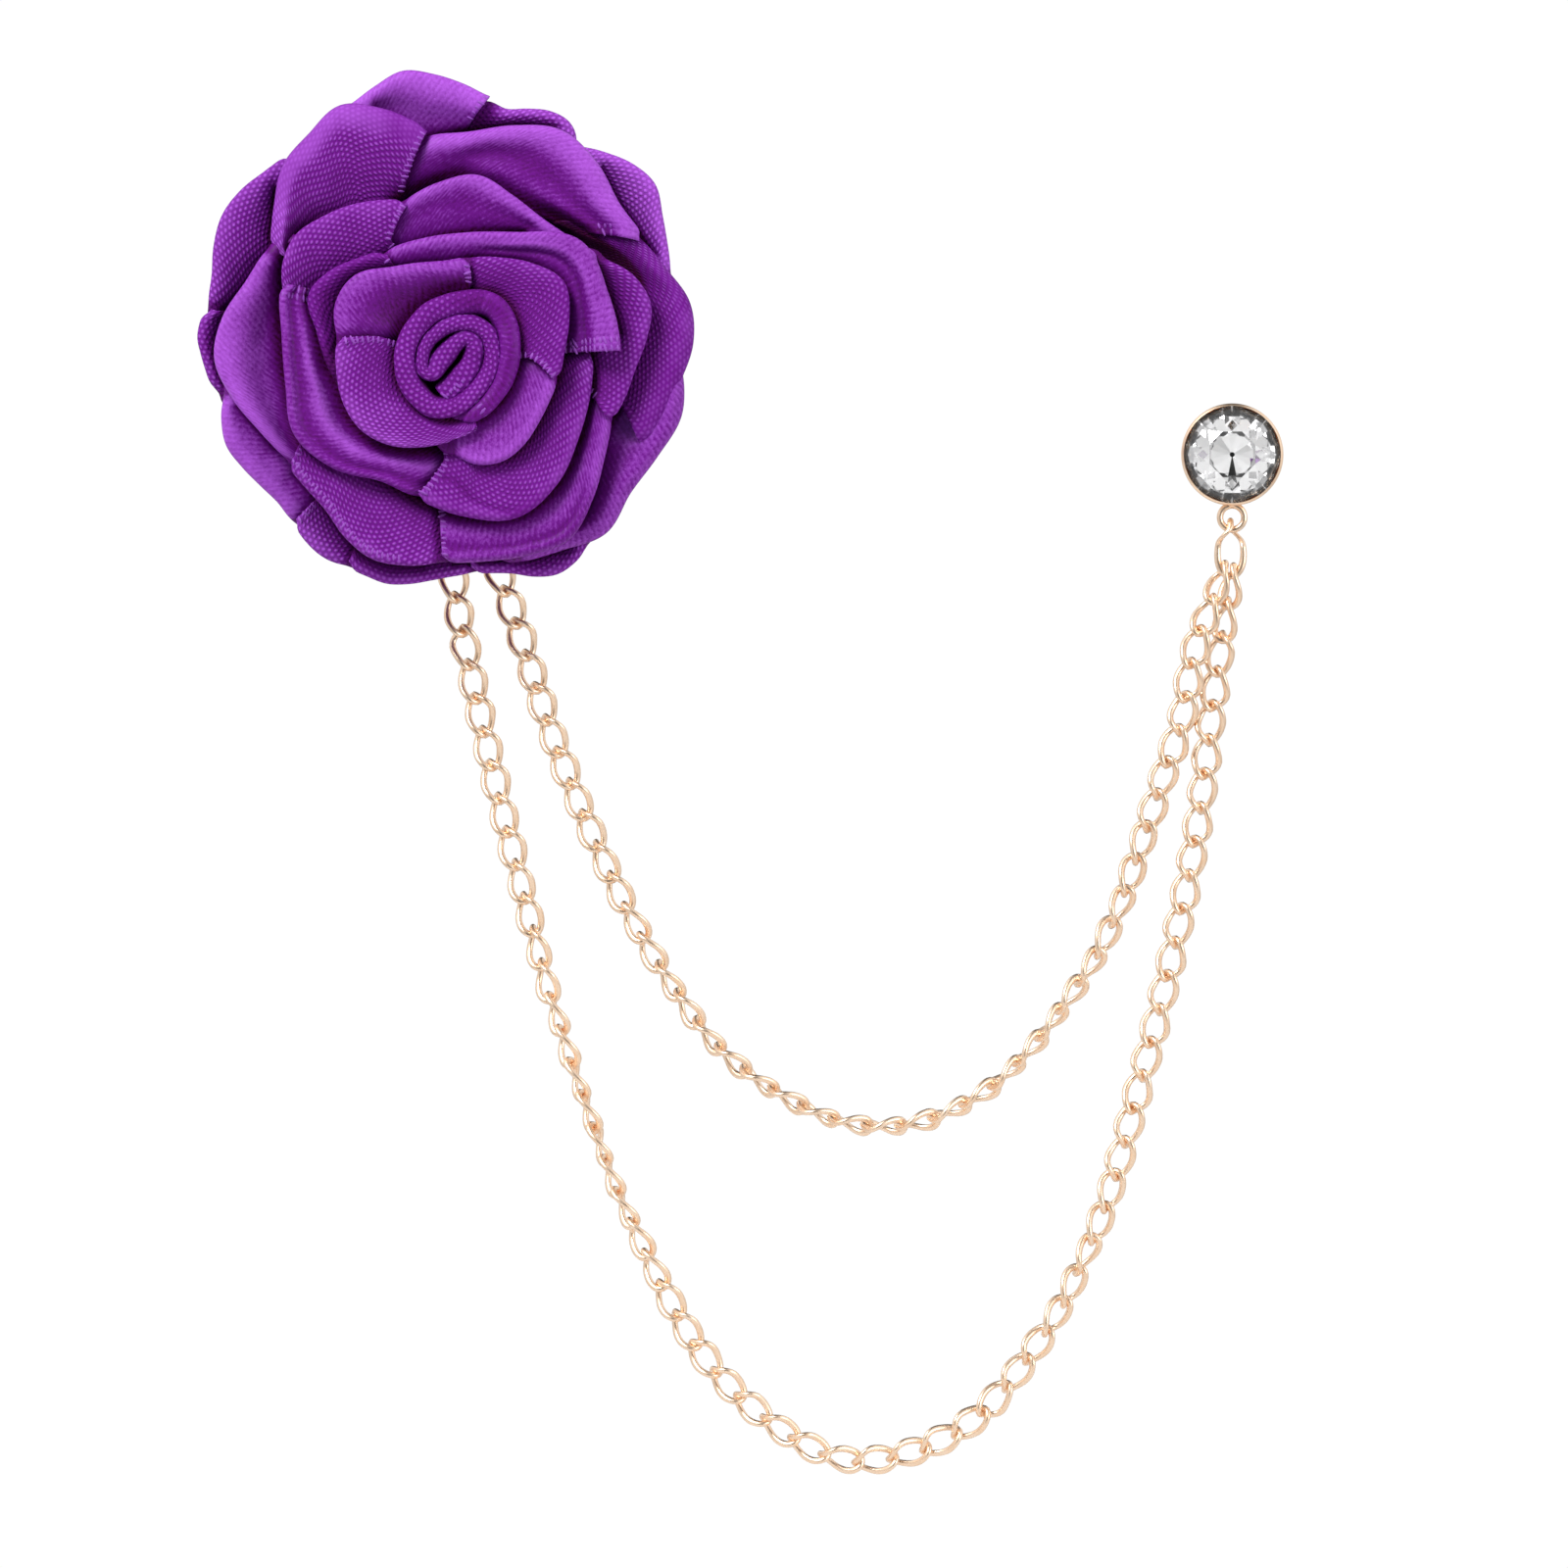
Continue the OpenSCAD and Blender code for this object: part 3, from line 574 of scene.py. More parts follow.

# %% [markdown]
# ## The heart
#
# The middle of the rose is the same ribbon folded lengthwise and rolled up, with the fold on top. Its path is
# a short table of bends, each a bearing, a distance, a height and a width. The roll shows the woven side, but
# the last part of its outer turn is glossy. Painted shade darkens the roll down its sides, darkens the glossy
# part a little, and darkens the middle of its top more, as the shade of a groove.

# %% Heart
HEART = [
    # bearing, reach, top, width of the rolled ribbon in millimetres
    (255, 0.166, 0.93, 2.0), (290, 0.100, 0.94, 2.2), (345, 0.084, 0.95, 1.9), (30, 0.104, 0.96, 1.6),
    (56, 0.094, 0.96, 1.4), (76, 0.058, 0.95, 1.5), (150, 0.030, 0.95, 1.8), (206, 0.070, 0.95, 1.8),
    (220, 0.110, 0.96, 1.35), (203, 0.134, 0.97, 1.15), (171, 0.122, 0.97, 1.1), (142, 0.118, 0.97, 1.2),
    (105, 0.127, 0.97, 1.4), (78, 0.142, 0.98, 1.5), (57, 0.160, 0.98, 1.5), (30, 0.172, 0.98, 1.5),
    (353, 0.165, 0.98, 1.5), (320, 0.162, 0.98, 1.5), (295, 0.178, 0.98, 1.5), (272, 0.208, 0.98, 1.6),
    (247, 0.224, 0.98, 1.8), (218, 0.212, 0.99, 1.9), (185, 0.198, 0.99, 1.9), (150, 0.191, 0.99, 1.9),
    (115, 0.200, 0.99, 2.0), (79, 0.226, 0.99, 2.1), (55, 0.262, 0.99, 2.1), (35, 0.260, 0.99, 2.0),
    (10, 0.238, 1.00, 1.9), (340, 0.228, 0.99, 1.8), (310, 0.236, 0.98, 1.6), (290, 0.250, 0.97, 1.4),
]
HEART_FOOT = 0.6
# The bend from which the roll is glossy, and the one from which its outer turn counts
GLOSS_FROM = 25
OUTER_TURN = 19
# How far the rolled ribbon wanders to the side and up, in millimetres
HEART_ROCK = 0.06
HEART_DIP = 0.12
# The last bends take the ribbon's end down under its own outer turn
HEART_TUCK = [(281, 0.238, 0.945, 1.4), (270, 0.222, 0.90, 1.4)]
HEART_SPANS = len(HEART + HEART_TUCK) - 1


def polar(reach, bearing):
    """To the right and up, of a place at a distance from the post and a bearing in degrees."""
    a = math.radians(bearing)
    return reach * math.cos(a), reach * math.sin(a)


heart_path = [Vector((*polar(r * ROSE_R, a), top * ROSE_H)) for a, r, top, _ in HEART + HEART_TUCK]
heart_widths = [width for _, _, _, width in HEART + HEART_TUCK]
# The hairpin of the rolled ribbon: how far out to either side, and how far up from its foot
HEART_SECTION = [
    # side, up
    (-1.0, 0.0), (-1.0, 0.40), (-1.02, 0.72), (-0.97, 0.87), (-0.70, 0.97), (0.0, 1.0),
    (0.70, 0.97), (0.97, 0.87), (1.02, 0.72), (1.0, 0.40), (1.0, 0.0),
]
SECTION_SIDES, SECTION_UPS = zip(*HEART_SECTION)
HEART_COLUMNS = 40


def heart_row(t):
    """The points across the rolled ribbon at t along it, and the painted light and shade of each, by how open
    it lies.
    """
    here = curve(heart_path, t)
    ahead = curve(heart_path, min(1, t + 0.003)) - curve(heart_path, max(0, t - 0.003))
    side = Vector((-ahead.y, ahead.x)).normalized()
    wide = curve(heart_widths, t)
    row = []
    opens = []
    for k in range(HEART_COLUMNS + 1):
        out_by = curve(SECTION_SIDES, k / HEART_COLUMNS) * wide / 2
        up = curve(SECTION_UPS, k / HEART_COLUMNS)
        width = mix(0.84, 1, up)
        rock = HEART_ROCK * noise.noise(Vector((t * 60, up * 2, 3.1)))
        dip = HEART_DIP * noise.noise(Vector((t * 45, 7.7, out_by)))
        right, high = (h * width + s * (out_by + rock) for h, s in zip(here.xy, side.xy))
        row.append((right, -mix(HEART_FOOT * ROSE_H, here.z, up) + dip * up, high))
        # Painted shade: dark down the roll's sides, a little darker on the glossy outer turn, and darker
        # still along the middle of its top, as a groove's shade
        groove = math.exp(-((out_by / wide * 5) ** 2))
        painted_turn_shade = smooth(0.72, 0.78, t) * (0.16 + 0.22 * groove)
        opens.append((0.12 + 0.78 * smooth(0.70, 1.0, up)) * (1 - painted_turn_shade))
    return row, opens


HEART_STEPS = 280
heart_rows, heart_opens = zip(*(heart_row(i / HEART_STEPS) for i in range(HEART_STEPS + 1)))
heart_plains = np.zeros((HEART_STEPS + 1, HEART_COLUMNS + 1))
heart_sheet, heart_length, heart_width = sheet_from(
    "rolled_heart", heart_rows, heart_opens, heart_plains, grain=14, wall=0.16
)


def outer_turn(bearing):
    """The heart's outline: the outside of its outer turn at that bearing, in degrees."""
    around = sorted((a % 360, r * ROSE_R + width / 2) for a, r, _, width in HEART[OUTER_TURN:])
    return float(np.interp(bearing % 360, *zip(*around), period=360))


print("heart: ribbon", round(heart_length), "mm long,", round(heart_width, 1), "mm across")

# %% [markdown]
# ## A petal's section
#
# What shows of a petal is a strip between the rim of the petal inside it and its own rim. The strip starts
# deep in the crevice under the inner rim, swells, and rises to a soft crest just inside the outline. Beyond
# the crest the ribbon rolls over and goes down the back. So the section needs to know the next outline
# further in, which is worked out from the same tables.

# %% Petal sections


def turn_of(petal, bearing):
    """How far along a petal a bearing lies, from 0 to 1, or None where the petal isn't."""
    across = (petal["rim_from"] - bearing) % 360
    span = petal["rim_from"] - petal["rim_to"]
    return across / span if across <= span else None


def reach_at(petal, t):
    """How far from the post a petal's rim lies, in millimetres."""
    return curve(petal["rim"], clamped(t)) * ROSE_R


def top_at(petal, t):
    """How high a petal's rim lies, in millimetres."""
    return mix(petal["top_from"], petal["top_to"], clamped(t)) * ROSE_H


def seat_of(ring):
    """The distance and the height of a ring's root, in millimetres."""
    reach, high = SEATS[ring]
    return reach * ROSE_R, high * ROSE_H


def ends_of(petal, t):
    """How each end of a petal is finished, and how far along the petal it is away."""
    return (petal["start"], t), (petal["end"], 1 - t)


def inner_edge(petal, bearing, reach):
    """The distance and the height of the next rim inside this petal, at a bearing. Of its own ring, only 2a
    lies inside another petal."""
    best = (outer_turn(bearing), ROSE_H * 0.98)
    for other in petals:
        if other is petal:
            continue
        t = turn_of(other, bearing)
        if t is None:
            continue
        edge = reach_at(other, t)
        inside = other["ring"] < petal["ring"] or (petal["ring"] == 2 and other["name"] == "2a")
        if inside and best[0] < edge < reach - 0.8:
            best = (edge, top_at(other, t))
    return best


def smoothed(values, width):
    """A running mean that keeps the ends."""
    padded = np.pad(values, width, mode="edge")
    return np.convolve(padded, np.ones(2 * width + 1) / (2 * width + 1), mode="valid")


# Where a petal isn't plain: the width of its rolled rim in millimetres, and the rise of its face from the
# crevice to the crest at its start and at its end
SHAPES = {
    # petal: roll, rise at its start, rise at its end
    "1a": (0.36, 1.0, 1.0), "1b": (0.50, 1.6, 1.4), "1c": (0.34, 1.1, 0.9), "1d": (0.36, 0.9, 1.0),
    "2a": (0.36, 1.1, 0.9), "2b": (0.50, 1.0, 1.9), "2c": (0.45, 1.0, 1.2), "2d": (0.42, 1.5, 1.6),
    "3a": (0.42, 1.3, 1.3), "3b": (0.42, 1.1, 1.7), "3c": (0.42, 1.0, 1.3), "3d": (0.60, 1.0, 1.1),
    "3e": (0.42, 1.2, 0.9), "4a": (0.60, 1.0, 1.8), "4b": (1.30, 1.7, 1.7), "4c": (0.85, 1.4, 2.2),
    "4d": (1.10, 0.7, 1.5), "4e": (1.10, 1.2, 1.3), "5a": (0.70, 2.0, 2.0), "5g": (0.60, 1.2, 0.5),
}
PLAIN_SHAPE = (0.5, 1.4, 1.4)

# Long folds pressed into a petal's face: from and to, as shares along it and across its strip, their height
# in millimetres, their width as a share of the strip, and how much painted light or shade they get for lying
# more or less open. A row with no height is a band of painted light or shade alone
RIDGES = {
    # petal: along from, across from, along to, across to, height, width, lighter
    "1a": [(0.60, 0.50, 1.00, 0.50, 0.00, 0.60, -0.16)],
    "1b": [(0.10, 0.30, 1.00, 0.30, -0.20, 0.30, -0.52), (0.00, 0.97, 1.00, 0.92, 0.05, 0.16, 0.10)],
    "2a": [(0.00, 0.50, 0.22, 0.50, 0.00, 0.90, -0.60)],
    "2b": [
        (0.45, 0.50, 1.00, 0.46, -0.45, 0.10, -0.30),
        (0.45, 0.74, 1.00, 0.70, 0.10, 0.10, 0.20),
        (0.15, 0.66, 0.60, 0.66, 0.00, 0.30, 0.20),
    ],
    "2c": [(0.62, 1.02, 1.00, 0.57, -0.18, 0.05, -0.25)],
    "2d": [(0.00, 0.88, 1.00, 0.80, -0.45, 0.16, -0.46), (0.00, 0.44, 1.00, 0.51, 0.26, 0.15, 0.40)],
    "3b": [(0.05, 0.62, 0.85, 0.60, -0.18, 0.20, -0.16), (0.00, 1.00, 1.00, 1.00, 0.00, 0.12, 0.14)],
    "3d": [(0.34, 0.90, 1.00, 0.84, -0.26, 0.15, -0.44), (0.00, 0.46, 1.00, 0.38, 0.22, 0.24, 0.14)],
    "4a": [(0.10, 0.45, 0.75, 0.35, -0.30, 0.20, -0.05), (0.05, 0.80, 0.60, 0.90, 0.00, 0.30, 0.15)],
    "4b": [(0.00, 1.00, 0.80, 1.00, 0.00, 0.10, 0.20)],
    "4c": [
        (0.25, 0.60, 1.00, 0.62, -0.34, 0.16, -0.20),
        (0.35, 0.32, 1.00, 0.38, 0.24, 0.12, 0.12),
        (0.00, 1.00, 1.00, 1.00, 0.00, 0.20, 0.34),
        (0.28, 0.08, 1.00, 0.12, -0.30, 0.15, -0.85),
    ],
    "4e": [(0.00, 0.30, 0.30, 0.30, -0.60, 0.35, 0.80)],
    "5a": [(0.10, 0.45, 0.95, 0.45, -0.20, 0.20, 0.00)],
    "5b": [(0.00, 0.70, 0.26, 0.70, 0.00, 0.90, -0.75)],
}
# How much lighter or darker a whole petal is painted: painted light and shade for how brightly each petal is
# lit
LIGHTER = {
    "1a": 0.14, "1b": -0.08, "1c": -0.08, "1d": 0.10, "2a": -0.16, "2c": -0.02, "2d": 0.02, "3c": -0.03,
    "3d": 0.02, "4a": 0.16, "4c": -0.10, "4d": -0.06, "4e": -0.05, "5a": 0.26, "5b": 0.20, "5c": 0.34,
    "5f": 0.14, "5g": 0.26, "5i": 0.08,
}
# How far from the crevice a petal's face is painted dark with shade, in millimetres, where the fold gapes
CREVICES = {
    # petal: at its start, at its end
    "1b": (1.4, 2.2), "1c": (1.2, 1.2), "2c": (1.2, 1.2), "2d": (1.3, 2.3), "3c": (1.2, 1.2),
    "3d": (1.2, 1.2), "3e": (1.2, 1.2), "4a": (1.7, 1.7), "4b": (1.3, 1.3), "4c": (0.9, 2.9),
}
PLAIN_CREVICE = (0.9, 0.9)
# How much painted light a petal's face gains out of the crevice, over its swell, and as a painted highlight
# up to its crest. Satin swells more
OPENING = {"weave": (0.74, 0.14, 0.10), "satin": (0.64, 0.20, 0.18)}
# How little of the weave shows on a petal's rolled rim, where the ribbon is pulled smooth
BARE_RIMS = {"4b": 0.8, "4d": 0.6, "2c": 0.6}
PLAIN_RIM = 0.35
# How many points a section has on its inner wall, its face, its rolled rim and its back
WALL_STEPS = 4
FACE_STEPS = 18
ROLL_STEPS = 10
BACK_STEPS = 5
CREST = WALL_STEPS + FACE_STEPS
# How far down each kind of end goes, and how far a hidden end goes on beyond its outline, in millimetres
SINK = {"tuck": 0.55, "deep": 1.5, "over": 0.0, "loops": 0.0, "free": -0.25}
HIDDEN_END = 2.6
# How many degrees the rim rolls over, and how far the ribbon wanders from its place, in millimetres
ROLL_ROUND = 155
UNEVEN = 0.09
# How far apart the sections are, and how near a hidden end its seam is painted dark with shade, in
# millimetres
SECTION_STEP = 0.34
SEAM_DARK = 0.75
# Past each end of a long fold, as a share of the petal, it fades out
RIDGE_FADE = 0.1


def end_depth(petal, t, millimetre):
    """How far a petal's end is pushed under its neighbour, or lifted off it, at a place along the petal."""
    sink = 0.0
    for style, away in ends_of(petal, t):
        slope = 1.6 if SINK[style] > 0 else 5.0
        sink += SINK[style] * smooth(slope * millimetre, -1.2 * millimetre, away)
    return sink


def end_round(petal, t, millimetre):
    """How far a laid-on end's corner is rounded off at the rim."""
    laid_on = [away for style, away in ends_of(petal, t) if style in ("over", "loops")]
    return sum(0.55 * smooth(1.3 * millimetre, 0, away) ** 2 for away in laid_on)


def face_lift(petal, t, s):
    """What the long folds add to a petal's face: height, and painted light or shade."""
    lift = 0.0
    lighter = 0.0
    for t0, s0, t1, s1, high, wide, light in RIDGES.get(petal["name"], []):
        if t0 - RIDGE_FADE < t < t1 + RIDGE_FADE:
            line = mix(s0, s1, (t - t0) / (t1 - t0))
            first = 1 if t0 <= 0 else smooth(t0 - RIDGE_FADE, t0 + RIDGE_FADE, t)
            last = 1 if t1 >= 1 else smooth(t1 + RIDGE_FADE, t1 - RIDGE_FADE, t)
            fold = first * last * math.exp(-(((s - line) / wide) ** 2))
            lift += high * fold
            lighter += light * fold
    return lift, lighter


def petal_line(petal, t, top, reach, edge_r, edge_h):
    """A petal's section at t along it, from the front root over the rim to the back root: each point's
    distance from the post, its height, and its painted light and shade, by how open it lies."""
    roll, rise_from, rise_to = SHAPES.get(petal["name"], PLAIN_SHAPE)
    deep, swell, crest = OPENING[petal["finish"]]
    whole = LIGHTER.get(petal["name"], 0)
    seat_r, seat_h = seat_of(petal["ring"])
    crest_r = reach - roll
    crevice = mix(*CREVICES.get(petal["name"], PLAIN_CREVICE), clamped(t))
    knee_r = min(edge_r - 0.3, crest_r - 0.7)
    rise = min(mix(rise_from, rise_to, clamped(t)), 0.5 + 0.55 * (crest_r - knee_r))
    knee_h = min(top - rise, edge_h - 1.2)
    line = []
    # The hidden wall, from the root up to the knee in the crevice
    for k in range(WALL_STEPS):
        f = k / WALL_STEPS
        line.append((mix(min(seat_r + 0.2, knee_r), knee_r, f), mix(seat_h, knee_h, f), 0.0))
    # The face, from the knee out to the crest
    for k in range(FACE_STEPS):
        s = k / FACE_STEPS
        high = 1 - (1 - s) ** 1.8
        lift, lighter = face_lift(petal, t, s)
        away = s * (crest_r - knee_r)
        # Painted shade near the crevice, painted light over the swell and a painted highlight at the crest
        light = deep * smooth(0.25, crevice, away)
        light += swell * smooth(0.5, 2.4, away)
        light += crest * smooth(0.6, 1.0, s)
        light *= 1 + lighter + whole
        line.append((mix(knee_r, crest_r, s), mix(knee_h, top, high) + lift, light))
    # The rim, rolled over, with a painted highlight at its crest that turns to painted shade underneath
    drop = 0.75 * roll + 0.25
    crest_light = 1 + whole + face_lift(petal, t, 1.0)[1]
    for k in range(ROLL_STEPS):
        a = math.radians(k / ROLL_STEPS * ROLL_ROUND)
        light = crest_light * (1 - 0.75 * smooth(0.4, 0.9, k / ROLL_STEPS))
        line.append((crest_r + roll * math.sin(a), top - drop + drop * math.cos(a), light))
    # The back, down to the root behind the wall, with painted light and shade
    end = line[-1]
    for k in range(BACK_STEPS + 1):
        f = (k + 0.5) / (BACK_STEPS + 0.5)
        light = 0.25 + 0.45 * smooth(0.0, 0.35, f) - 0.5 * smooth(0.5, 1.0, f)
        line.append((mix(end[0], seat_r + 1.1, f), mix(end[1], seat_h - 0.7, f), light))
    return line


def petal_sections(petal):
    """Rows of points across a petal, from its start to its end. Also the painted light and shade of each
    point, by how open it lies, and how plain the weave is there."""
    span = petal["rim_from"] - petal["rim_to"]
    mean_reach = sum(petal["rim"]) / len(petal["rim"]) * ROSE_R
    millimetre = math.degrees(1 / mean_reach) / span
    before, after = (HIDDEN_END * millimetre if SINK[petal[end]] > 0 else 0 for end in ("start", "end"))
    count = max(14, round((1 + before + after) / (millimetre * SECTION_STEP)))
    turns = [mix(-before, 1 + after, i / count) for i in range(count + 1)]
    reaches = [reach_at(petal, t) for t in turns]
    edges = [inner_edge(petal, mix(petal["rim_from"], petal["rim_to"], t), r) for t, r in zip(turns, reaches)]
    inner_r, inner_h = (smoothed(np.array(values), 3) for values in zip(*edges))
    seat_r = seat_of(petal["ring"])[0]
    rows = []
    opens = []
    for t, reach, edge_r, edge_h in zip(turns, reaches, inner_r, inner_h):
        sink = end_depth(petal, t, millimetre)
        reach -= max(0, min(0.3, 0.4 * sink))
        reach -= end_round(petal, t, millimetre)
        reach -= smooth(0.6, HIDDEN_END, max(-t, t - 1) / millimetre)
        line = petal_line(petal, t, top_at(petal, t) - sink, reach, edge_r, edge_h)
        root = mix(petal["root_from"], petal["root_to"], t)
        rim = mix(petal["rim_from"], petal["rim_to"], t)
        row = []
        for r, h, _ in line:
            right, high = polar(r, mix(root, rim, clamped((r - seat_r) / (reach - seat_r))))
            place = Vector((right, -h, high))
            uneven = UNEVEN * noise.noise(place * 0.5 + Vector((petal["ring"] * 7.3, 0, 0)))
            row.append((place.x, place.y - uneven, place.z))
        rows.append(row)
        # Painted shade near the seam of a hidden end
        hidden = [away / millimetre for style, away in ends_of(petal, t) if SINK[style] > 0]
        seam = mix(0.45, 1, smooth(0.0, SEAM_DARK, min(hidden, default=SEAM_DARK)))
        opens.append([o * seam for _, _, o in line])
    bare = BARE_RIMS.get(petal["name"], PLAIN_RIM)
    plain = [0.0] * WALL_STEPS + [bare * smooth(0.8, 1.0, k / FACE_STEPS) for k in range(FACE_STEPS)]
    plain += [bare] * (len(rows[0]) - len(plain))
    return rows, opens, [[p * smooth(0.0, 0.3, t) for p in plain] for t in turns]


print("a section has", CREST + ROLL_STEPS + BACK_STEPS + 1, "points")

# %% [markdown]
# ## Selvedge loops
#
# Along a satin ribbon's edge the weft turns back in small loops, half a millimetre apart. They show where a
# petal's end is marked loops or free, on both ends of the heart, and along one rim. One loop is a small
# stretched ball, and copies of it lie side by side along the end, each pointing out over it and a little out
# of line, because they are rubbed.

# %% Selvedge loops
LOOP_STEP = 0.50
LOOP_SIZE = (0.78, 0.30, 0.2)
loop_start = fresh(bpy.ops.mesh.primitive_uv_sphere_add, "loop", segments=6, ring_count=5, radius=0.5 * MM)
loop_points = np.array([v.co for v in loop_start.data.vertices]) / MM
loop_faces = [tuple(p.vertices) for p in loop_start.data.polygons]
bpy.data.objects.remove(loop_start)


def loops_along(line, inward, normal):
    """Loops along a line of points, each lying from the line inward and standing a little proud. A loop's own
    axes are into the ribbon, to the side, and up from it."""
    line = [Vector(p) for p in line]
    gone = np.concatenate(([0], np.cumsum([(b - a).length for a, b in zip(line, line[1:])])))
    count = max(1, int(gone[-1] / LOOP_STEP))
    points, faces = [], []
    for i in range(count):
        s = (i + 0.5) * gone[-1] / count
        k = min(len(line) - 2, int(np.searchsorted(gone, s)) - 1)
        f = (s - gone[k]) / max(1e-6, gone[k + 1] - gone[k])
        at = line[k].lerp(line[k + 1], f)
        into = Vector(inward[k]).lerp(Vector(inward[k + 1]), f).normalized()
        up = Vector(normal[k]).lerp(Vector(normal[k + 1]), f).normalized()
        run = (line[k + 1] - line[k]).normalized()
        into = (into - run * into.dot(run)).normalized()
        side = up.cross(into).normalized()
        wild = noise.noise(Vector((i * 1.7, gone[-1], count)))
        into = (into + side * (0.12 + 0.6 * wild)).normalized()
        side = up.cross(into).normalized()
        middle = at + into * (LOOP_SIZE[0] * 0.36) + up * 0.06
        axes = np.array([into, side, up])
        base = len(points)
        size = np.array(LOOP_SIZE) * (1 + 0.7 * wild, 1, 1)
        points.extend((loop_points * size) @ axes + np.array(middle))
        faces.extend(tuple(base + v for v in face) for face in loop_faces)
    mesh = bpy.data.meshes.new("loops")
    mesh.from_pydata([tuple(p * MM) for p in points], [], faces)
    mesh.uv_layers.new(name="ribbon")
    made = bpy.data.objects.new("loops", mesh)
    scene.collection.objects.link(made)
    mesh.polygons.foreach_set("use_smooth", [True] * len(mesh.polygons))
    mesh.materials.append(EDGE)
    return made


print("one loop has", len(loop_faces), "faces")

# %% [markdown]
# ## Folding the petals
#
# Each petal is made from its rows of the tables, thickened, given its loops, and put in its solid's place.
# Every one is a folded sheet; its flat size, what its stretch of ribbon measures, is worked out and not kept.
# The threads lie at a slant to the folds. In a woven petal the map is turned for that, and the glossy
# material has its own slant.

# %% Petals
# Material, slot and how far the map is turned, in degrees, which is the other way in the first ring
FINISH = {"weave": (WEAVE, "ribbon_matte", 24), "satin": (SATIN, "ribbon_gloss", 0)}
FIRST_RING_GRAIN = -18
# A glossy petal that lies with its woven side out
WOVEN_SIDE_OUT = "5e"
# Between which shares of its strip a petal's end shows loops, where not all the way
LOOPS_AT = {
    "1b": (0.40, 1.0), "2a": (0.5, 1.0), "3c": (0.0, 0.45),
    "4c": (0.38, 0.86), "5a": (0.35, 1.0), "5f": (0.3, 1.0),
}
# Petals whose selvedge shows along the rim, from and to
RIM_LOOPS = {"3e": (0.30, 1.0)}
# Ends that are frayed into more than one row of loops
MORE_ROWS = {"2d": 2, "2b": 2, "4c": 2}
# The least side of a folded sheet, in millimetres
SHEET_LEAST = 10.2


def declare_sheet(width, length):
    """Works out how large the ribbon was before it was folded, in millimetres, and keeps nothing of it."""
    flat = (max(width, SHEET_LEAST) * MM, max(length, SHEET_LEAST) * MM)
    area = width * length * MM * MM
    None if area >= 0.999 * flat[0] * flat[1] else area


def end_loops(petal, grid):
    """Loops across a petal's end, from the crevice to the rim."""
    low, high = LOOPS_AT.get(petal["name"], (0.0, 1.0))
    first = WALL_STEPS + 1 + round(low * FACE_STEPS)
    last = CREST + ROLL_STEPS // 2 if high >= 1 else WALL_STEPS + round(high * FACE_STEPS)
    picked = range(first, last)
    made = []
    for row in range(MORE_ROWS.get(petal["name"], 1)):
        end, before = grid[-1 - 2 * row], grid[-3 - 2 * row]
        inward = [Vector(before[k] - end[k]) for k in picked]
        normal = [Vector(end[k + 1] - end[k - 1]).cross(i) for k, i in zip(picked, inward)]
        normal = [-n if n.y > 0 else n for n in normal]
        made.append(loops_along([end[k] for k in picked], inward, normal))
    return made


def rim_loops(petal, grid):
    """Loops along part of a petal's rim, pointing inward."""
    t0, t1 = RIM_LOOPS[petal["name"]]
    picked = range(round(t0 * (len(grid) - 1)), round(t1 * (len(grid) - 1)))
    line = [grid[i][CREST + 1] for i in picked]
    inward = [Vector(grid[i][CREST - 2] - grid[i][CREST + 1]) for i in picked]
    return loops_along(line, inward, [(0, -1, 0)] * len(line))


ribbon_total = 0
for petal in petals:
    rows, opens, plains = petal_sections(petal)
    material, slot_name, grain = FINISH[petal["finish"]]
    if petal["finish"] == "weave" and petal["ring"] == 1:
        grain = FIRST_RING_GRAIN
    sheet, length, width = sheet_from("sheet", rows, opens, plains, grain, crest=CREST)
    paint(sheet, WEAVE if petal["name"] == WOVEN_SIDE_OUT else material)
    pieces = [sheet]
    if petal["end"] in ("loops", "free"):
        pieces.extend(end_loops(petal, np.array(rows)))
    if petal["name"] in RIM_LOOPS:
        pieces.append(rim_loops(petal, np.array(rows)))
    piece = joined(pieces, "ribbon_petal_" + petal["name"])
    dress(piece, "petal_" + petal["name"], slot_name)
    declare_sheet(width, length)
    ribbon_total += length
print("petals take", round(ribbon_total), "mm of ribbon")

# %% [markdown]
# ## Finishing the heart
#
# The roll is one ribbon, so its woven and its glossy part are one piece with two materials, and the map that
# says how far along the ribbon a spot lies tells them apart. Both ends of the ribbon show their selvedge.

# %% Heart's finish
# How many rows of the roll the selvedge at its inner end takes, and how wide the one across its outer end is
INNER_END_ROWS = 10
OUTER_END_HALF = 8
paint(heart_sheet, WEAVE, SATIN)
run_uv = heart_sheet.data.uv_layers["run"].data
for face in heart_sheet.data.polygons:
    face.material_index = 1 if run_uv[face.loop_start].uv.x > GLOSS_FROM / HEART_SPANS else 0


def heart_row_at(bend):
    """The heart's row of points nearest to a bend of its path."""
    return heart_rows[round(HEART_STEPS * bend / HEART_SPANS)]


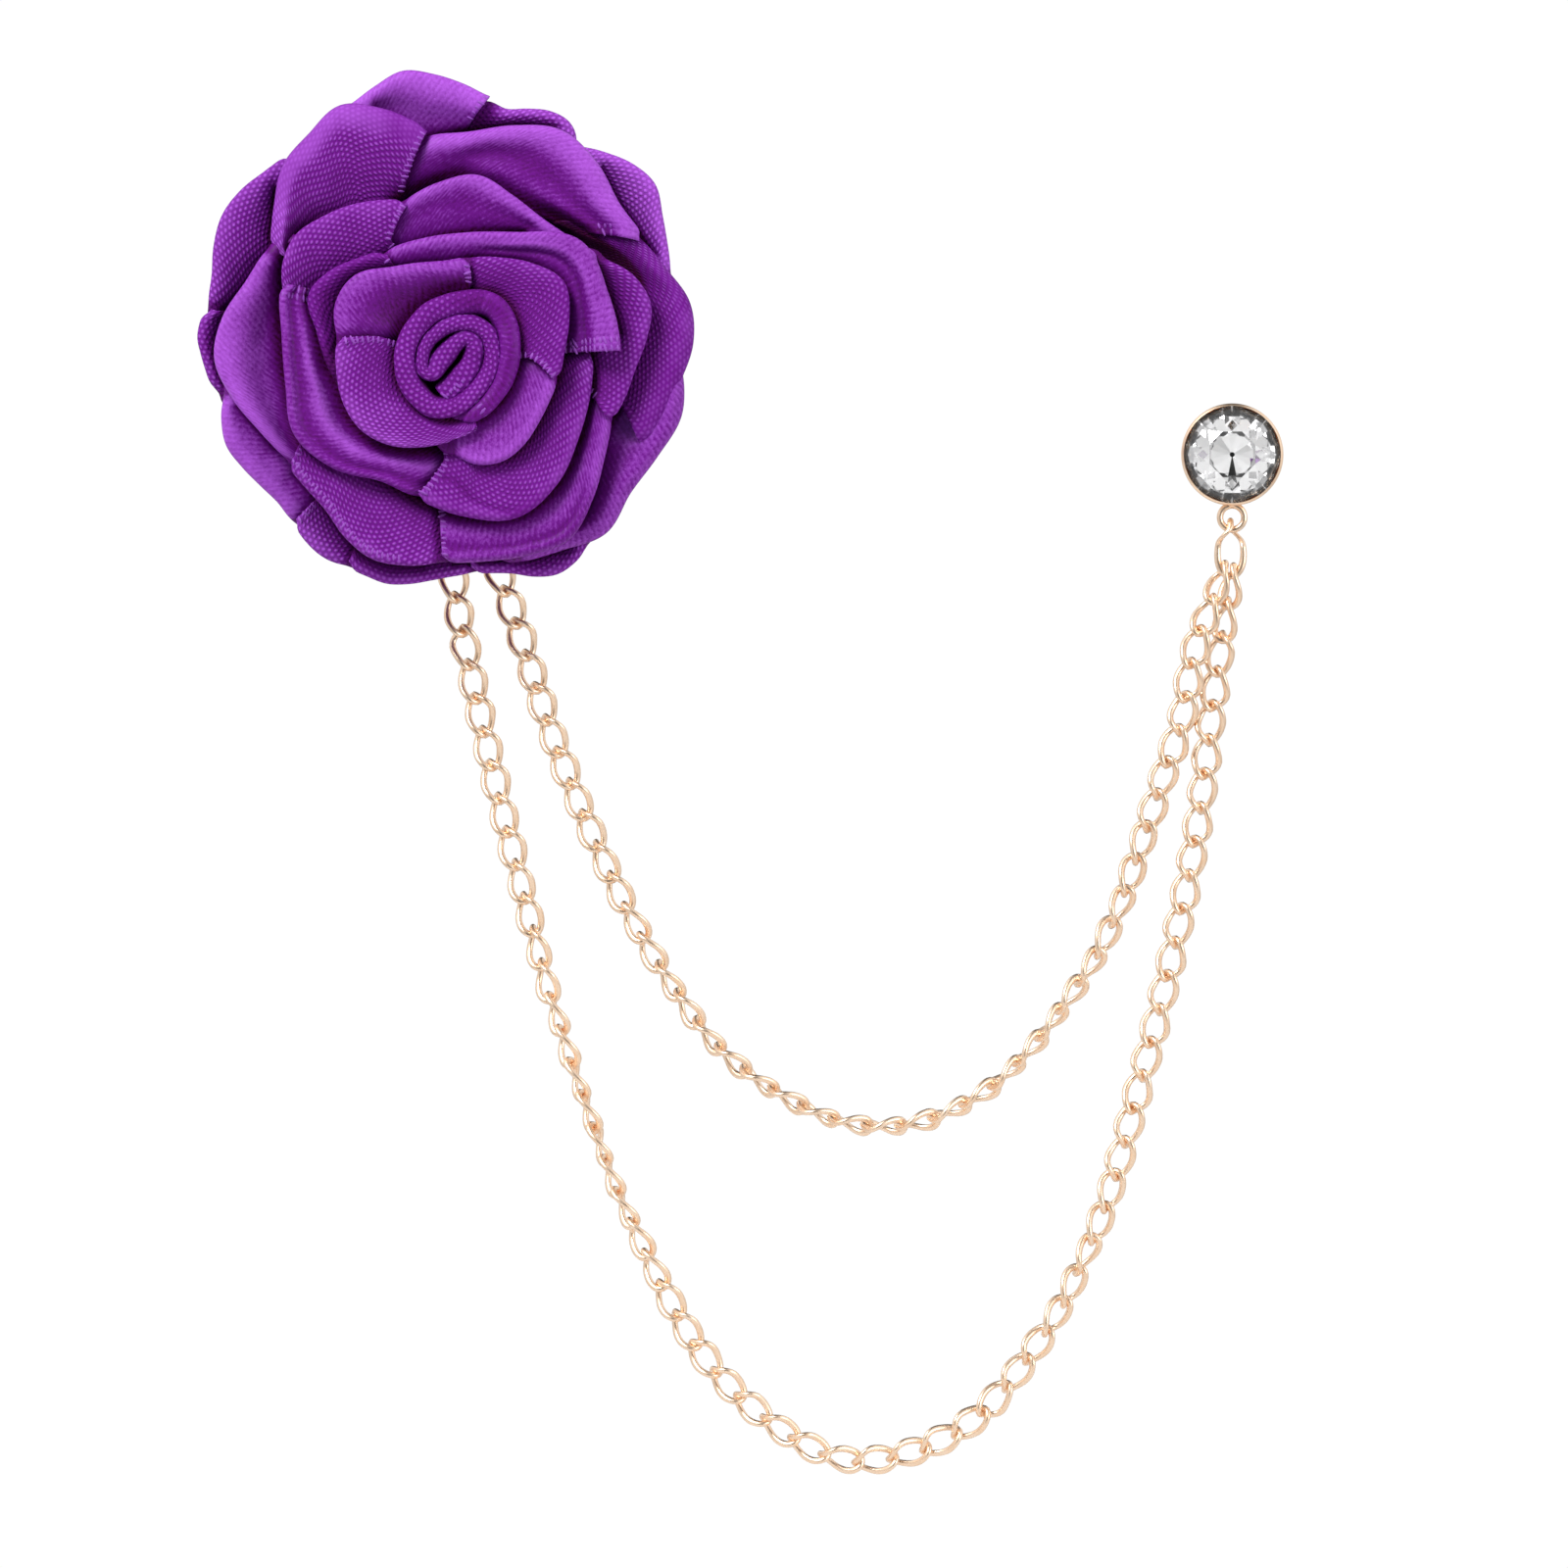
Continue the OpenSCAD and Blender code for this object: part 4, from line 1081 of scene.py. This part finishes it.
# The ribbon's inner end, whose selvedge shows on the roll's first bend, and its outer end
heart_tops = [Vector(row[HEART_COLUMNS // 2]) for row in heart_rows[: INNER_END_ROWS + 1]]
inner_side = [(b - a).cross(Vector((0, 1, 0))).normalized() for a, b in zip(heart_tops, heart_tops[1:])]
inner_line = [p - side * 0.45 for p, side in zip(heart_tops, inner_side)]
last_row = heart_row_at(len(HEART) - 1.3)
before_row = heart_row_at(len(HEART) - 1.6)
across_top = range(HEART_COLUMNS // 2 - OUTER_END_HALF, HEART_COLUMNS // 2 + OUTER_END_HALF + 1)
outer_line = [last_row[k] for k in across_top]
outer_in = [Vector(before_row[k]) - Vector(last_row[k]) for k in across_top]
heart_pieces = [heart_sheet]
for line, inward in ((inner_line, inner_side), (outer_line, outer_in)):
    heart_pieces.append(loops_along(line, inward, [(0, -1, 0)] * len(line)))
heart_piece = joined(heart_pieces, "rolled_heart")
dress(heart_piece, "heart", "ribbon_matte")
declare_sheet(heart_width, heart_length)
compare("heart", heart_piece)

# %% [markdown]
# ## Gold
#
# The chain, the cup and the pin are plated a pale, slightly pink gold. It is bright, but its polish is soft,
# so what it reflects has no sharp edges. The polish is faintly uneven, and the colour a little deeper where
# the plating is thin.

# %% Gold
GOLD, field, shader = new_material("pale_gold", Metallic=1.0)
polish = cloudy(field, 900.0, 0.0, 1.0)
feed(shader, "Base Color", polish.mixed((0.95, 0.65, 0.42, 1), (1.0, 0.82, 0.66, 1)))
feed(shader, "Roughness", polish * 0.10 + 0.30)
print("gold:", GOLD.name)

# %% [markdown]
# ## Curb chain
#
# A curb chain's link is an oval of round wire, twisted so that its two ends cross. By hand it starts as a
# circle curve with a round bevel, which stays round when the curve is pulled into an oval. As a mesh it is
# then twisted by a Simple Deform modifier. One link is modelled, and a copy is put in the place of each link
# of the solid chain, whose middle and axes are measured from the solid.

# %% One curb link
LINK_WIRE = 0.62
LINK_WIDE = 2.85
# How far each end of a link is turned, in degrees
LINK_TURN = 50
# How much longer the handles are than a circle's, for a fuller oval
FULL_OVAL = 1.246
# The measured reach of a solid link is to its wire's corners, a little further in than the round wire's skin
CORNER_SHARE = 0.97


def curb_link(half):
    """A link whose wire's middle reaches half to either end along X."""
    link = fresh(bpy.ops.curve.primitive_bezier_circle_add, "link", radius=1)
    wide = (LINK_WIDE - LINK_WIRE) / 2
    for point in link.data.splines[0].bezier_points:
        for handle in ("handle_left", "handle_right"):
            setattr(point, handle + "_type", "FREE")
        middle = point.co.copy()
        for handle in ("handle_left", "handle_right"):
            reach = (getattr(point, handle) - middle) * FULL_OVAL + middle
            setattr(point, handle, Vector((reach.x * half, reach.y * wide, 0)) * MM)
        point.co = Vector((middle.x * half, middle.y * wide, 0)) * MM
    link.data.dimensions = "3D"
    link.data.resolution_u = 8
    link.data.bevel_depth = LINK_WIRE / 2 * MM
    link.data.bevel_resolution = 4
    bpy.ops.object.convert(target="MESH")
    link = bpy.context.active_object
    bpy.ops.object.modifier_add(type="SIMPLE_DEFORM")
    bend = link.modifiers[-1]
    bend.deform_method = "TWIST"
    bend.deform_axis = "X"
    bend.angle = -math.radians(2 * LINK_TURN) * (half + LINK_WIRE / 2) / half
    bpy.ops.object.modifier_apply(modifier=bend.name)
    return link


print("a link is", LINK_WIDE, "mm wide")

# %% Places of the links


def loose_parts(node):
    """The vertices of each loose solid of a node, in millimetres."""
    bpy.ops.object.select_all(action="DESELECT")
    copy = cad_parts[node].copy()
    copy.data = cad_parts[node].data.copy()
    copy.parent = None
    scene.collection.objects.link(copy)
    copy.select_set(True)
    bpy.context.view_layer.objects.active = copy
    bpy.ops.object.mode_set(mode="EDIT")
    bpy.ops.mesh.select_all(action="SELECT")
    bpy.ops.mesh.remove_doubles(threshold=0.001 * MM)
    bpy.ops.mesh.separate(type="LOOSE")
    bpy.ops.object.mode_set(mode="OBJECT")
    found = []
    for part in list(bpy.context.selected_objects):
        found.append(np.array([v.co for v in part.data.vertices]) / MM)
        bpy.data.objects.remove(part)
    return found


def link_place(points):
    """The turned and moved frame of one link: its long axis, its wide axis and its middle."""
    middle = points.mean(axis=0)
    _, axes = np.linalg.eigh(np.cov((points - middle).T))
    long, wide = Vector(axes[:, 2]), Vector(axes[:, 1])
    up = long.cross(wide)
    place = Matrix((long, wide, up)).transposed().to_4x4()
    place.translation = Vector(middle) * MM
    return place


def chain_from(node, name):
    """A chain of finished links in the places of a node's solid ones."""
    parts = loose_parts(node)
    reach = np.mean([(p - p.mean(axis=0)).dot(np.array(link_place(p).col[0][:3])).max() for p in parts])
    model = curb_link(reach - LINK_WIRE / 2 * CORNER_SHARE)
    links = []
    for points in parts:
        copy = bpy.data.objects.new("link_copy", model.data.copy())
        copy.data.transform(link_place(points))
        scene.collection.objects.link(copy)
        links.append(copy)
    bpy.data.objects.remove(model)
    chain = joined(links, name)
    bpy.ops.object.shade_smooth()
    dress(chain, node, "gold", GOLD)
    print(name, len(parts), "links,", round(2 * reach, 2), "mm long")


chain_from("chain_inner", "curb_chain_inner")
chain_from("chain_outer", "curb_chain_outer")

# %% [markdown]
# ## Drop link
#
# Both chains hang in one egg-shaped wire link under the stud. It is twisted a quarter turn between its top,
# which hangs in the stud's eye, and its foot, where the chains' last links sit side by side. It starts as a
# torus stretched into an oval. The twist goes only through its middle, which no modifier does by itself, so a
# formula turns each point of the mesh and widens the foot.

# %% Drop link
DROP_LONG = 5.6
DROP_WIDE = 2.9
DROP_WIRE = 0.58
# How much wider the ring is at its foot than in its middle, as a share
DROP_FLARE = 0.2
TORUS_WIRE_R = 0.25


def wire_ring(name, wide, long, wire):
    """A closed oval of round wire in the XZ plane, from a torus whose wire is kept round."""
    upright = (math.pi / 2, 0, 0)
    ring = fresh(
        bpy.ops.mesh.primitive_torus_add, name, major_radius=1, minor_radius=TORUS_WIRE_R,
        major_segments=72, minor_segments=24, rotation=upright,
    )
    bpy.ops.object.transform_apply(location=False, rotation=True, scale=False)
    for v in ring.data.vertices:
        angle = math.atan2(v.co.z, v.co.x)
        core = Vector((math.cos(angle), 0, math.sin(angle)))
        away = (v.co - core) / TORUS_WIRE_R * wire / 2
        out = away.dot(core)
        face = Vector((math.cos(angle) / wide, 0, math.sin(angle) / long)).normalized()
        v.co = Vector((core.x * wide, 0, core.z * long)) + face * out + Vector((0, away.y, 0))
        v.co *= MM
    return ring


drop_half = (DROP_LONG - DROP_WIRE) / 2
drop = wire_ring("egg_drop_link", (DROP_WIDE - DROP_WIRE) / 2, drop_half, DROP_WIRE)
low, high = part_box("drop_link")
drop_middle = (low + high) / 2 / MM
for v in drop.data.vertices:
    up = max(-1, min(1, v.co.z / MM / drop_half))
    turn = math.radians(90 * smooth(0.05, 0.85, up))
    x, y = v.co.x * (1 - DROP_FLARE * up), v.co.y
    v.co.x = x * math.cos(turn) - y * math.sin(turn)
    v.co.y = x * math.sin(turn) + y * math.cos(turn)
    v.co += drop_middle * MM
bpy.ops.object.shade_smooth()
dress(drop, "drop_link", "gold", GOLD)
compare("drop_link", drop)

# %% [markdown]
# ## Turned pieces
#
# The stud's cup, the rose's back plate and both posts are turned on a lathe. In Blender that is a profile,
# spun round an axis: the profile's points are drawn as one chain of edges, and Spin sweeps them round. A
# point on the axis closes the shape, once the doubles there are merged. Wire eyes are tori, and each is
# soldered on by a small squashed ball.

# %% Turning and wire eyes
EYE_R = 1.1
EYE_WIRE = 0.6


def turned(name, profile, at, steps):
    """A profile of points in millimetres, each a radius and a height out of the cloth, spun round the Y axis
    through at."""
    bpy.ops.object.select_all(action="DESELECT")
    mesh = bpy.data.meshes.new(name)
    edges = [(i, i + 1) for i in range(len(profile) - 1)]
    mesh.from_pydata([(r * MM, -h * MM, 0) for r, h in profile], edges, [])
    piece = bpy.data.objects.new(name, mesh)
    scene.collection.objects.link(piece)
    piece.select_set(True)
    bpy.context.view_layer.objects.active = piece
    bpy.ops.object.mode_set(mode="EDIT")
    bpy.ops.mesh.select_all(action="SELECT")
    bpy.ops.mesh.spin(steps=steps, angle=math.tau, center=(0, 0, 0), axis=(0, 1, 0))
    bpy.ops.mesh.select_all(action="SELECT")
    bpy.ops.mesh.remove_doubles(threshold=0.002 * MM)
    bpy.ops.mesh.normals_make_consistent(inside=False)
    bpy.ops.object.mode_set(mode="OBJECT")
    piece.data.transform(Matrix.Translation(Vector(at) * MM))
    bpy.ops.object.shade_smooth_by_angle(angle=math.radians(32))
    return piece


def softened(profile, by, steps=4):
    """A profile with its corners, but not its two ends, rounded off by a little."""
    out = [profile[0]]
    for a, b, c in zip(profile, profile[1:], profile[2:]):
        a, b, c = Vector(a), Vector(b), Vector(c)
        first = b + (a - b).normalized() * min(by, (a - b).length / 2.2)
        last = b + (c - b).normalized() * min(by, (c - b).length / 2.2)
        for k in range(steps + 1):
            f = k / steps
            out.append(tuple(first * (1 - f) ** 2 + b * 2 * f * (1 - f) + last * f**2))
    out.append(profile[-1])
    return out


def wire_eye(name, at, facing):
    """A round eye of wire. Facing turns it, in degrees about the up axis, from facing the viewer."""
    turn = (math.radians(90), 0, math.radians(facing))
    eye = fresh(
        bpy.ops.mesh.primitive_torus_add, name, major_radius=EYE_R * MM, minor_radius=EYE_WIRE / 2 * MM,
        major_segments=56, minor_segments=20, location=Vector(at) * MM, rotation=turn,
    )
    bpy.ops.object.transform_apply(location=True, rotation=True, scale=True)
    bpy.ops.object.shade_smooth()
    return eye


def solder(name, at, size, squash):
    """A small smooth bead of solder, where a wire meets a plate."""
    ball = {"segments": 24, "ring_count": 14, "radius": size * MM, "location": at * MM}
    bead = fresh(bpy.ops.mesh.primitive_uv_sphere_add, name, **ball)
    bead.scale = squash
    bpy.ops.object.transform_apply(location=True, rotation=True, scale=True)
    bpy.ops.object.shade_smooth()
    return bead


print("profiles can be spun")

# %% [markdown]
# ## Stud
#
# The stone sits in a thin turned cup whose lip is rubbed over its girdle. The lip slopes outward, so it shows
# the tent's bright sides and stands out as a thin gold ring. A wire eye is soldered under the cup, a little
# behind the lip, and a sharp post behind it goes through the cloth.

# %% Stud
STUD_AT = Vector((70.6, 0, -8.8))
STONE_R = 4.44
GIRDLE_H = 3.4
CUP_R = 4.64
CUP_LIP = GIRDLE_H + 0.15
SEAT_DEEP = 0.9
stud_eye_at = STUD_AT + Vector((0, -1.6, -5.7))
cup_profile = softened([
    # radius, height
    (0, -0.02), (CUP_R * 0.86, 0), (CUP_R - 0.02, CUP_LIP * 0.55), (CUP_R, CUP_LIP - 0.20),
    (STONE_R - 0.03, CUP_LIP + 0.05), (STONE_R - 0.05, CUP_LIP + 0.01), (STONE_R + 0.04, GIRDLE_H - 0.20),
    (STONE_R / 4, SEAT_DEEP), (0, SEAT_DEEP),
], 0.16)
cup = turned("cup", cup_profile, STUD_AT, 128)
POST_LONG = 7.0
POST_R = 0.45
post_profile = softened([
    (0, 0.4), (POST_R * 2.2, 0.15), (POST_R * 1.5, -0.25), (POST_R, -0.7), (POST_R, -POST_LONG + 1.9),
    (POST_R * 0.78, -POST_LONG + 1.7), (POST_R * 0.78, -POST_LONG + 1.3), (POST_R, -POST_LONG + 1.1),
    (POST_R, -POST_LONG), (POST_R / 4, -POST_LONG - 1.2), (0, -POST_LONG - 1.22),
], 0.12)
post = turned("post", post_profile, STUD_AT, 48)
eye = wire_eye("eye", stud_eye_at, 0)
bead = solder("bead", STUD_AT + Vector((0, -1.55, -4.55)), 0.42, (1.25, 1.1, 0.7))
setting = joined([cup, post, eye, bead], "stud_cup_and_post")
dress(setting, "stud_setting", "gold", GOLD)
compare("stud_setting", setting)

# %% [markdown]
# ## Stone
#
# A stone gets its shape by being ground flat, one facet after another, and Bisect does just that: it cuts a
# mesh along a plane, throws one side away and fills the cut. So a plain round blank is cut along every
# facet's plane: the table on top, eight kites and eight stars round it, sixteen small facets down to the
# girdle, and the keels underneath. The planes go through corners worked out from the stone's sizes, so
# neighbours meet in points. The keels are turned by half a small facet against the crown, so that less light
# goes straight back. The underside is silvered, as on the glass stones of such jewellery, and sends the
# light back out.

# %% Stone
TABLE_R = 2.25
CROWN_H = 1.3
PAVILION_H = 2.3
GIRDLE_T = 0.2
# Between two corners of the table, between two of the girdle, and half of that, in degrees
TABLE_STEP = 45
GIRDLE_STEP = TABLE_STEP / 2
UNDER_TURN = GIRDLE_STEP / 2


def gem_corner(r, h, azimuth):
    """A corner of the stone, seen from the front: azimuth in degrees from the right."""
    right, up = polar(r, azimuth)
    return Vector((right, -h, up))


def cut_facet(a, b, c):
    """Grinds the selected blank flat along the plane through three corners."""
    normal = (b - a).cross(c - a).normalized()
    if normal.dot(a - Vector((0, -GIRDLE_H, 0))) < 0:
        normal = -normal
    bpy.ops.mesh.select_all(action="SELECT")
    plane = {"plane_co": (a + STUD_AT) * MM, "plane_no": normal}
    bpy.ops.mesh.bisect(use_fill=True, clear_outer=True, threshold=0.00001 * MM, **plane)


blank_at = STUD_AT + Vector((0, -GIRDLE_H - (CROWN_H - PAVILION_H) / 2, 0))
stone = fresh(
    bpy.ops.mesh.primitive_cylinder_add, "brilliant_stone", vertices=160, radius=STONE_R * MM,
    depth=(CROWN_H + PAVILION_H) * MM, rotation=(math.radians(90), 0, 0), location=blank_at * MM,
)
bpy.ops.object.transform_apply(location=True, rotation=True, scale=True)
bpy.ops.object.mode_set(mode="EDIT")
upper = GIRDLE_H + GIRDLE_T / 2
lower = GIRDLE_H - GIRDLE_T / 2
top = GIRDLE_H + CROWN_H
star_r = mix(TABLE_R, STONE_R, 0.42)
star_h = GIRDLE_H + CROWN_H * 0.62
keel_h = GIRDLE_H - PAVILION_H * 0.8
for k in range(8):
    star_at = TABLE_STEP * k
    corner_at = star_at + GIRDLE_STEP
    under_at = star_at + UNDER_TURN
    table = [gem_corner(TABLE_R, top, corner_at + turn) for turn in (0, -TABLE_STEP)]
    star = gem_corner(star_r, star_h, star_at)
    cut_facet(table[0], table[1], star)
    for side in (-GIRDLE_STEP, GIRDLE_STEP):
        cut_facet(star, gem_corner(STONE_R, upper, star_at), gem_corner(STONE_R, upper, star_at + side))
        girdle = [gem_corner(STONE_R, lower, under_at + turn) for turn in (0, side)]
        cut_facet(gem_corner(STONE_R / 4, keel_h, under_at + side), girdle[0], girdle[1])
    near_stars = [gem_corner(star_r, star_h, corner_at + side) for side in (-GIRDLE_STEP, GIRDLE_STEP)]
    cut_facet(near_stars[0], near_stars[1], table[0])
bpy.ops.mesh.select_all(action="SELECT")
bpy.ops.mesh.remove_doubles(threshold=0.004 * MM)
bpy.ops.mesh.dissolve_limited(angle_limit=math.radians(0.4))
bpy.ops.mesh.normals_make_consistent(inside=False)
bpy.ops.object.mode_set(mode="OBJECT")
print("stone:", len(stone.data.polygons), "faces")
compare("stone", stone)

# %% Stone's glass and silver
GLASS, field, shader = new_material(
    "cut_glass", Base_Color=(1.0, 1.0, 1.0, 1), Roughness=0.0, IOR=1.55, Transmission_Weight=1.0
)
SILVER, field, shader = new_material("silvered_back", Metallic=1.0)
foil = cloudy(field, 1500.0, 0.0, 1.0)
feed(shader, "Base Color", foil.mixed((0.95, 0.95, 0.96, 1), (1.0, 1.0, 1.0, 1)))
feed(shader, "Roughness", foil * 0.05 + 0.02)
paint(stone, GLASS, SILVER)
for face in stone.data.polygons:
    face.material_index = 1 if face.normal.y > -0.2 else 0
dress(stone, "stone", "stone")
print("silvered faces:", sum(face.material_index for face in stone.data.polygons))

# %% [markdown]
# ## The rose's pin
#
# The rose is sewn and glued to a round plate. Two wire eyes stand out from the plate's lower edge for the
# chains, and a post with a turned groove and a sharp point goes through the lapel.

# %% Rose pin
PLATE_R = 8
PLATE_T = 1
ROSE_POST = 8
PIN_R = 0.6
GROOVE_R = 0.46
# The bearings of the two eyes, their distance from the post, and how far they stand out of the cloth
EYES = (-74, -97)
EYE_REACH = 8.8
EYE_LIFT = 1.6
plate_profile = softened([
    # radius, height
    (0, PLATE_T), (PLATE_R, PLATE_T), (PLATE_R, 0.02), (PLATE_R - 0.7, 0.0), (PLATE_R - 0.9, 0.12),
    (2.2, 0.12), (1.9, -0.02), (1.3, -0.12), (PIN_R, -0.8), (PIN_R, 2.2 - ROSE_POST),
    (GROOVE_R, 2.0 - ROSE_POST), (GROOVE_R, 1.5 - ROSE_POST), (PIN_R, 1.3 - ROSE_POST),
    (PIN_R, -ROSE_POST), (0.15, -ROSE_POST - 1.2), (0, -ROSE_POST - 1.22),
], 0.14)
pieces = [turned("plate", plate_profile, (0, 0, 0), 128)]
for bearing in EYES:
    right, up = polar(EYE_REACH, bearing)
    place = Vector((right, -EYE_LIFT, up))
    pieces.append(wire_eye("eye", place, 90))
    pieces.append(solder("bead", place + Vector((0, 0.75, 0.7)), 0.45, (1.1, 0.8, 1.3)))
rose_pin = joined(pieces, "plate_post_and_eyes")
dress(rose_pin, "rose_pin", "gold", GOLD)
compare("rose_pin", rose_pin)

# %% [markdown]
# ## Gathered base
#
# Behind the petals the ribbon is gathered with a running stitch and sewn down in turns, so from behind it is
# a ring of narrow radial pleats. A turned shell with a rippled skin shows that. The ripple is deepest at the
# outer edge and dies out towards the plate, where the stitches pull it flat.

# %% Gathered base
PLEATS = 46
PLEAT_DEEP = 0.22
UNDER = 3.2
HUB_R = 7.2
BASE_EDGE = 16.25
FOOT_H = HEART_FOOT * ROSE_H - 0.35
SKIN_STEPS = 14
base_profile = [(0.0, PLATE_T + 0.02), (HUB_R, PLATE_T + 0.02), (HUB_R, UNDER)]
for k in range(1, SKIN_STEPS + 1):
    f = k / SKIN_STEPS
    base_profile.append((mix(HUB_R, BASE_EDGE, f), UNDER + 0.10 * math.sin(f * math.pi)))
base_profile += [(BASE_EDGE + 0.1, UNDER + 0.5), (BASE_EDGE - 0.1, 4.0)]
for ring in (5, 4, 3, 2, 1):
    seat_r, seat_h = seat_of(ring)
    step_r, step_h = seat_r + 0.25, seat_h - 1.35
    base_profile += [(step_r + 0.15, max(3.9, step_h - 0.9)), (step_r, min(step_h, FOOT_H))]
base_profile += [(3.0, FOOT_H), (0.0, FOOT_H)]
base = turned("gathered_base", softened(base_profile, 0.2, 2), (0, 0, 0), 276)
ripples = []
for v in base.data.vertices:
    r = math.hypot(v.co.x, v.co.z) / MM
    bearing = math.atan2(v.co.z, v.co.x)
    wander = noise.noise(Vector((math.cos(bearing) * 3, math.sin(bearing) * 3, r * 0.05)))
    ripple = math.sin(PLEATS * bearing + wander * 2.5)
    deep = smooth(HUB_R + 0.3, HUB_R + 3.0, r) * smooth(4.6, 3.4, -v.co.y / MM)
    v.co.y += PLEAT_DEEP * deep * (ripple - 0.4) * MM
    ripples.append(ripple)
for name in ("ribbon", "fold"):
    base.data.uv_layers.new(name=name)
ribbon_uv, fold_uv = (base.data.uv_layers[name].data for name in ("ribbon", "fold"))
for loop in base.data.loops:
    co = base.data.vertices[loop.vertex_index].co
    ribbon_uv[loop.index].uv = (co.x / MM + UV_START, co.z / MM + UV_START)
    # Painted light and shade that follow the pleats' ripple
    fold_uv[loop.index].uv = (0.55 + 0.35 * ripples[loop.vertex_index], 0)
dress(base, "ribbon_base", "ribbon_inside", INSIDE)
compare("ribbon_base", base)
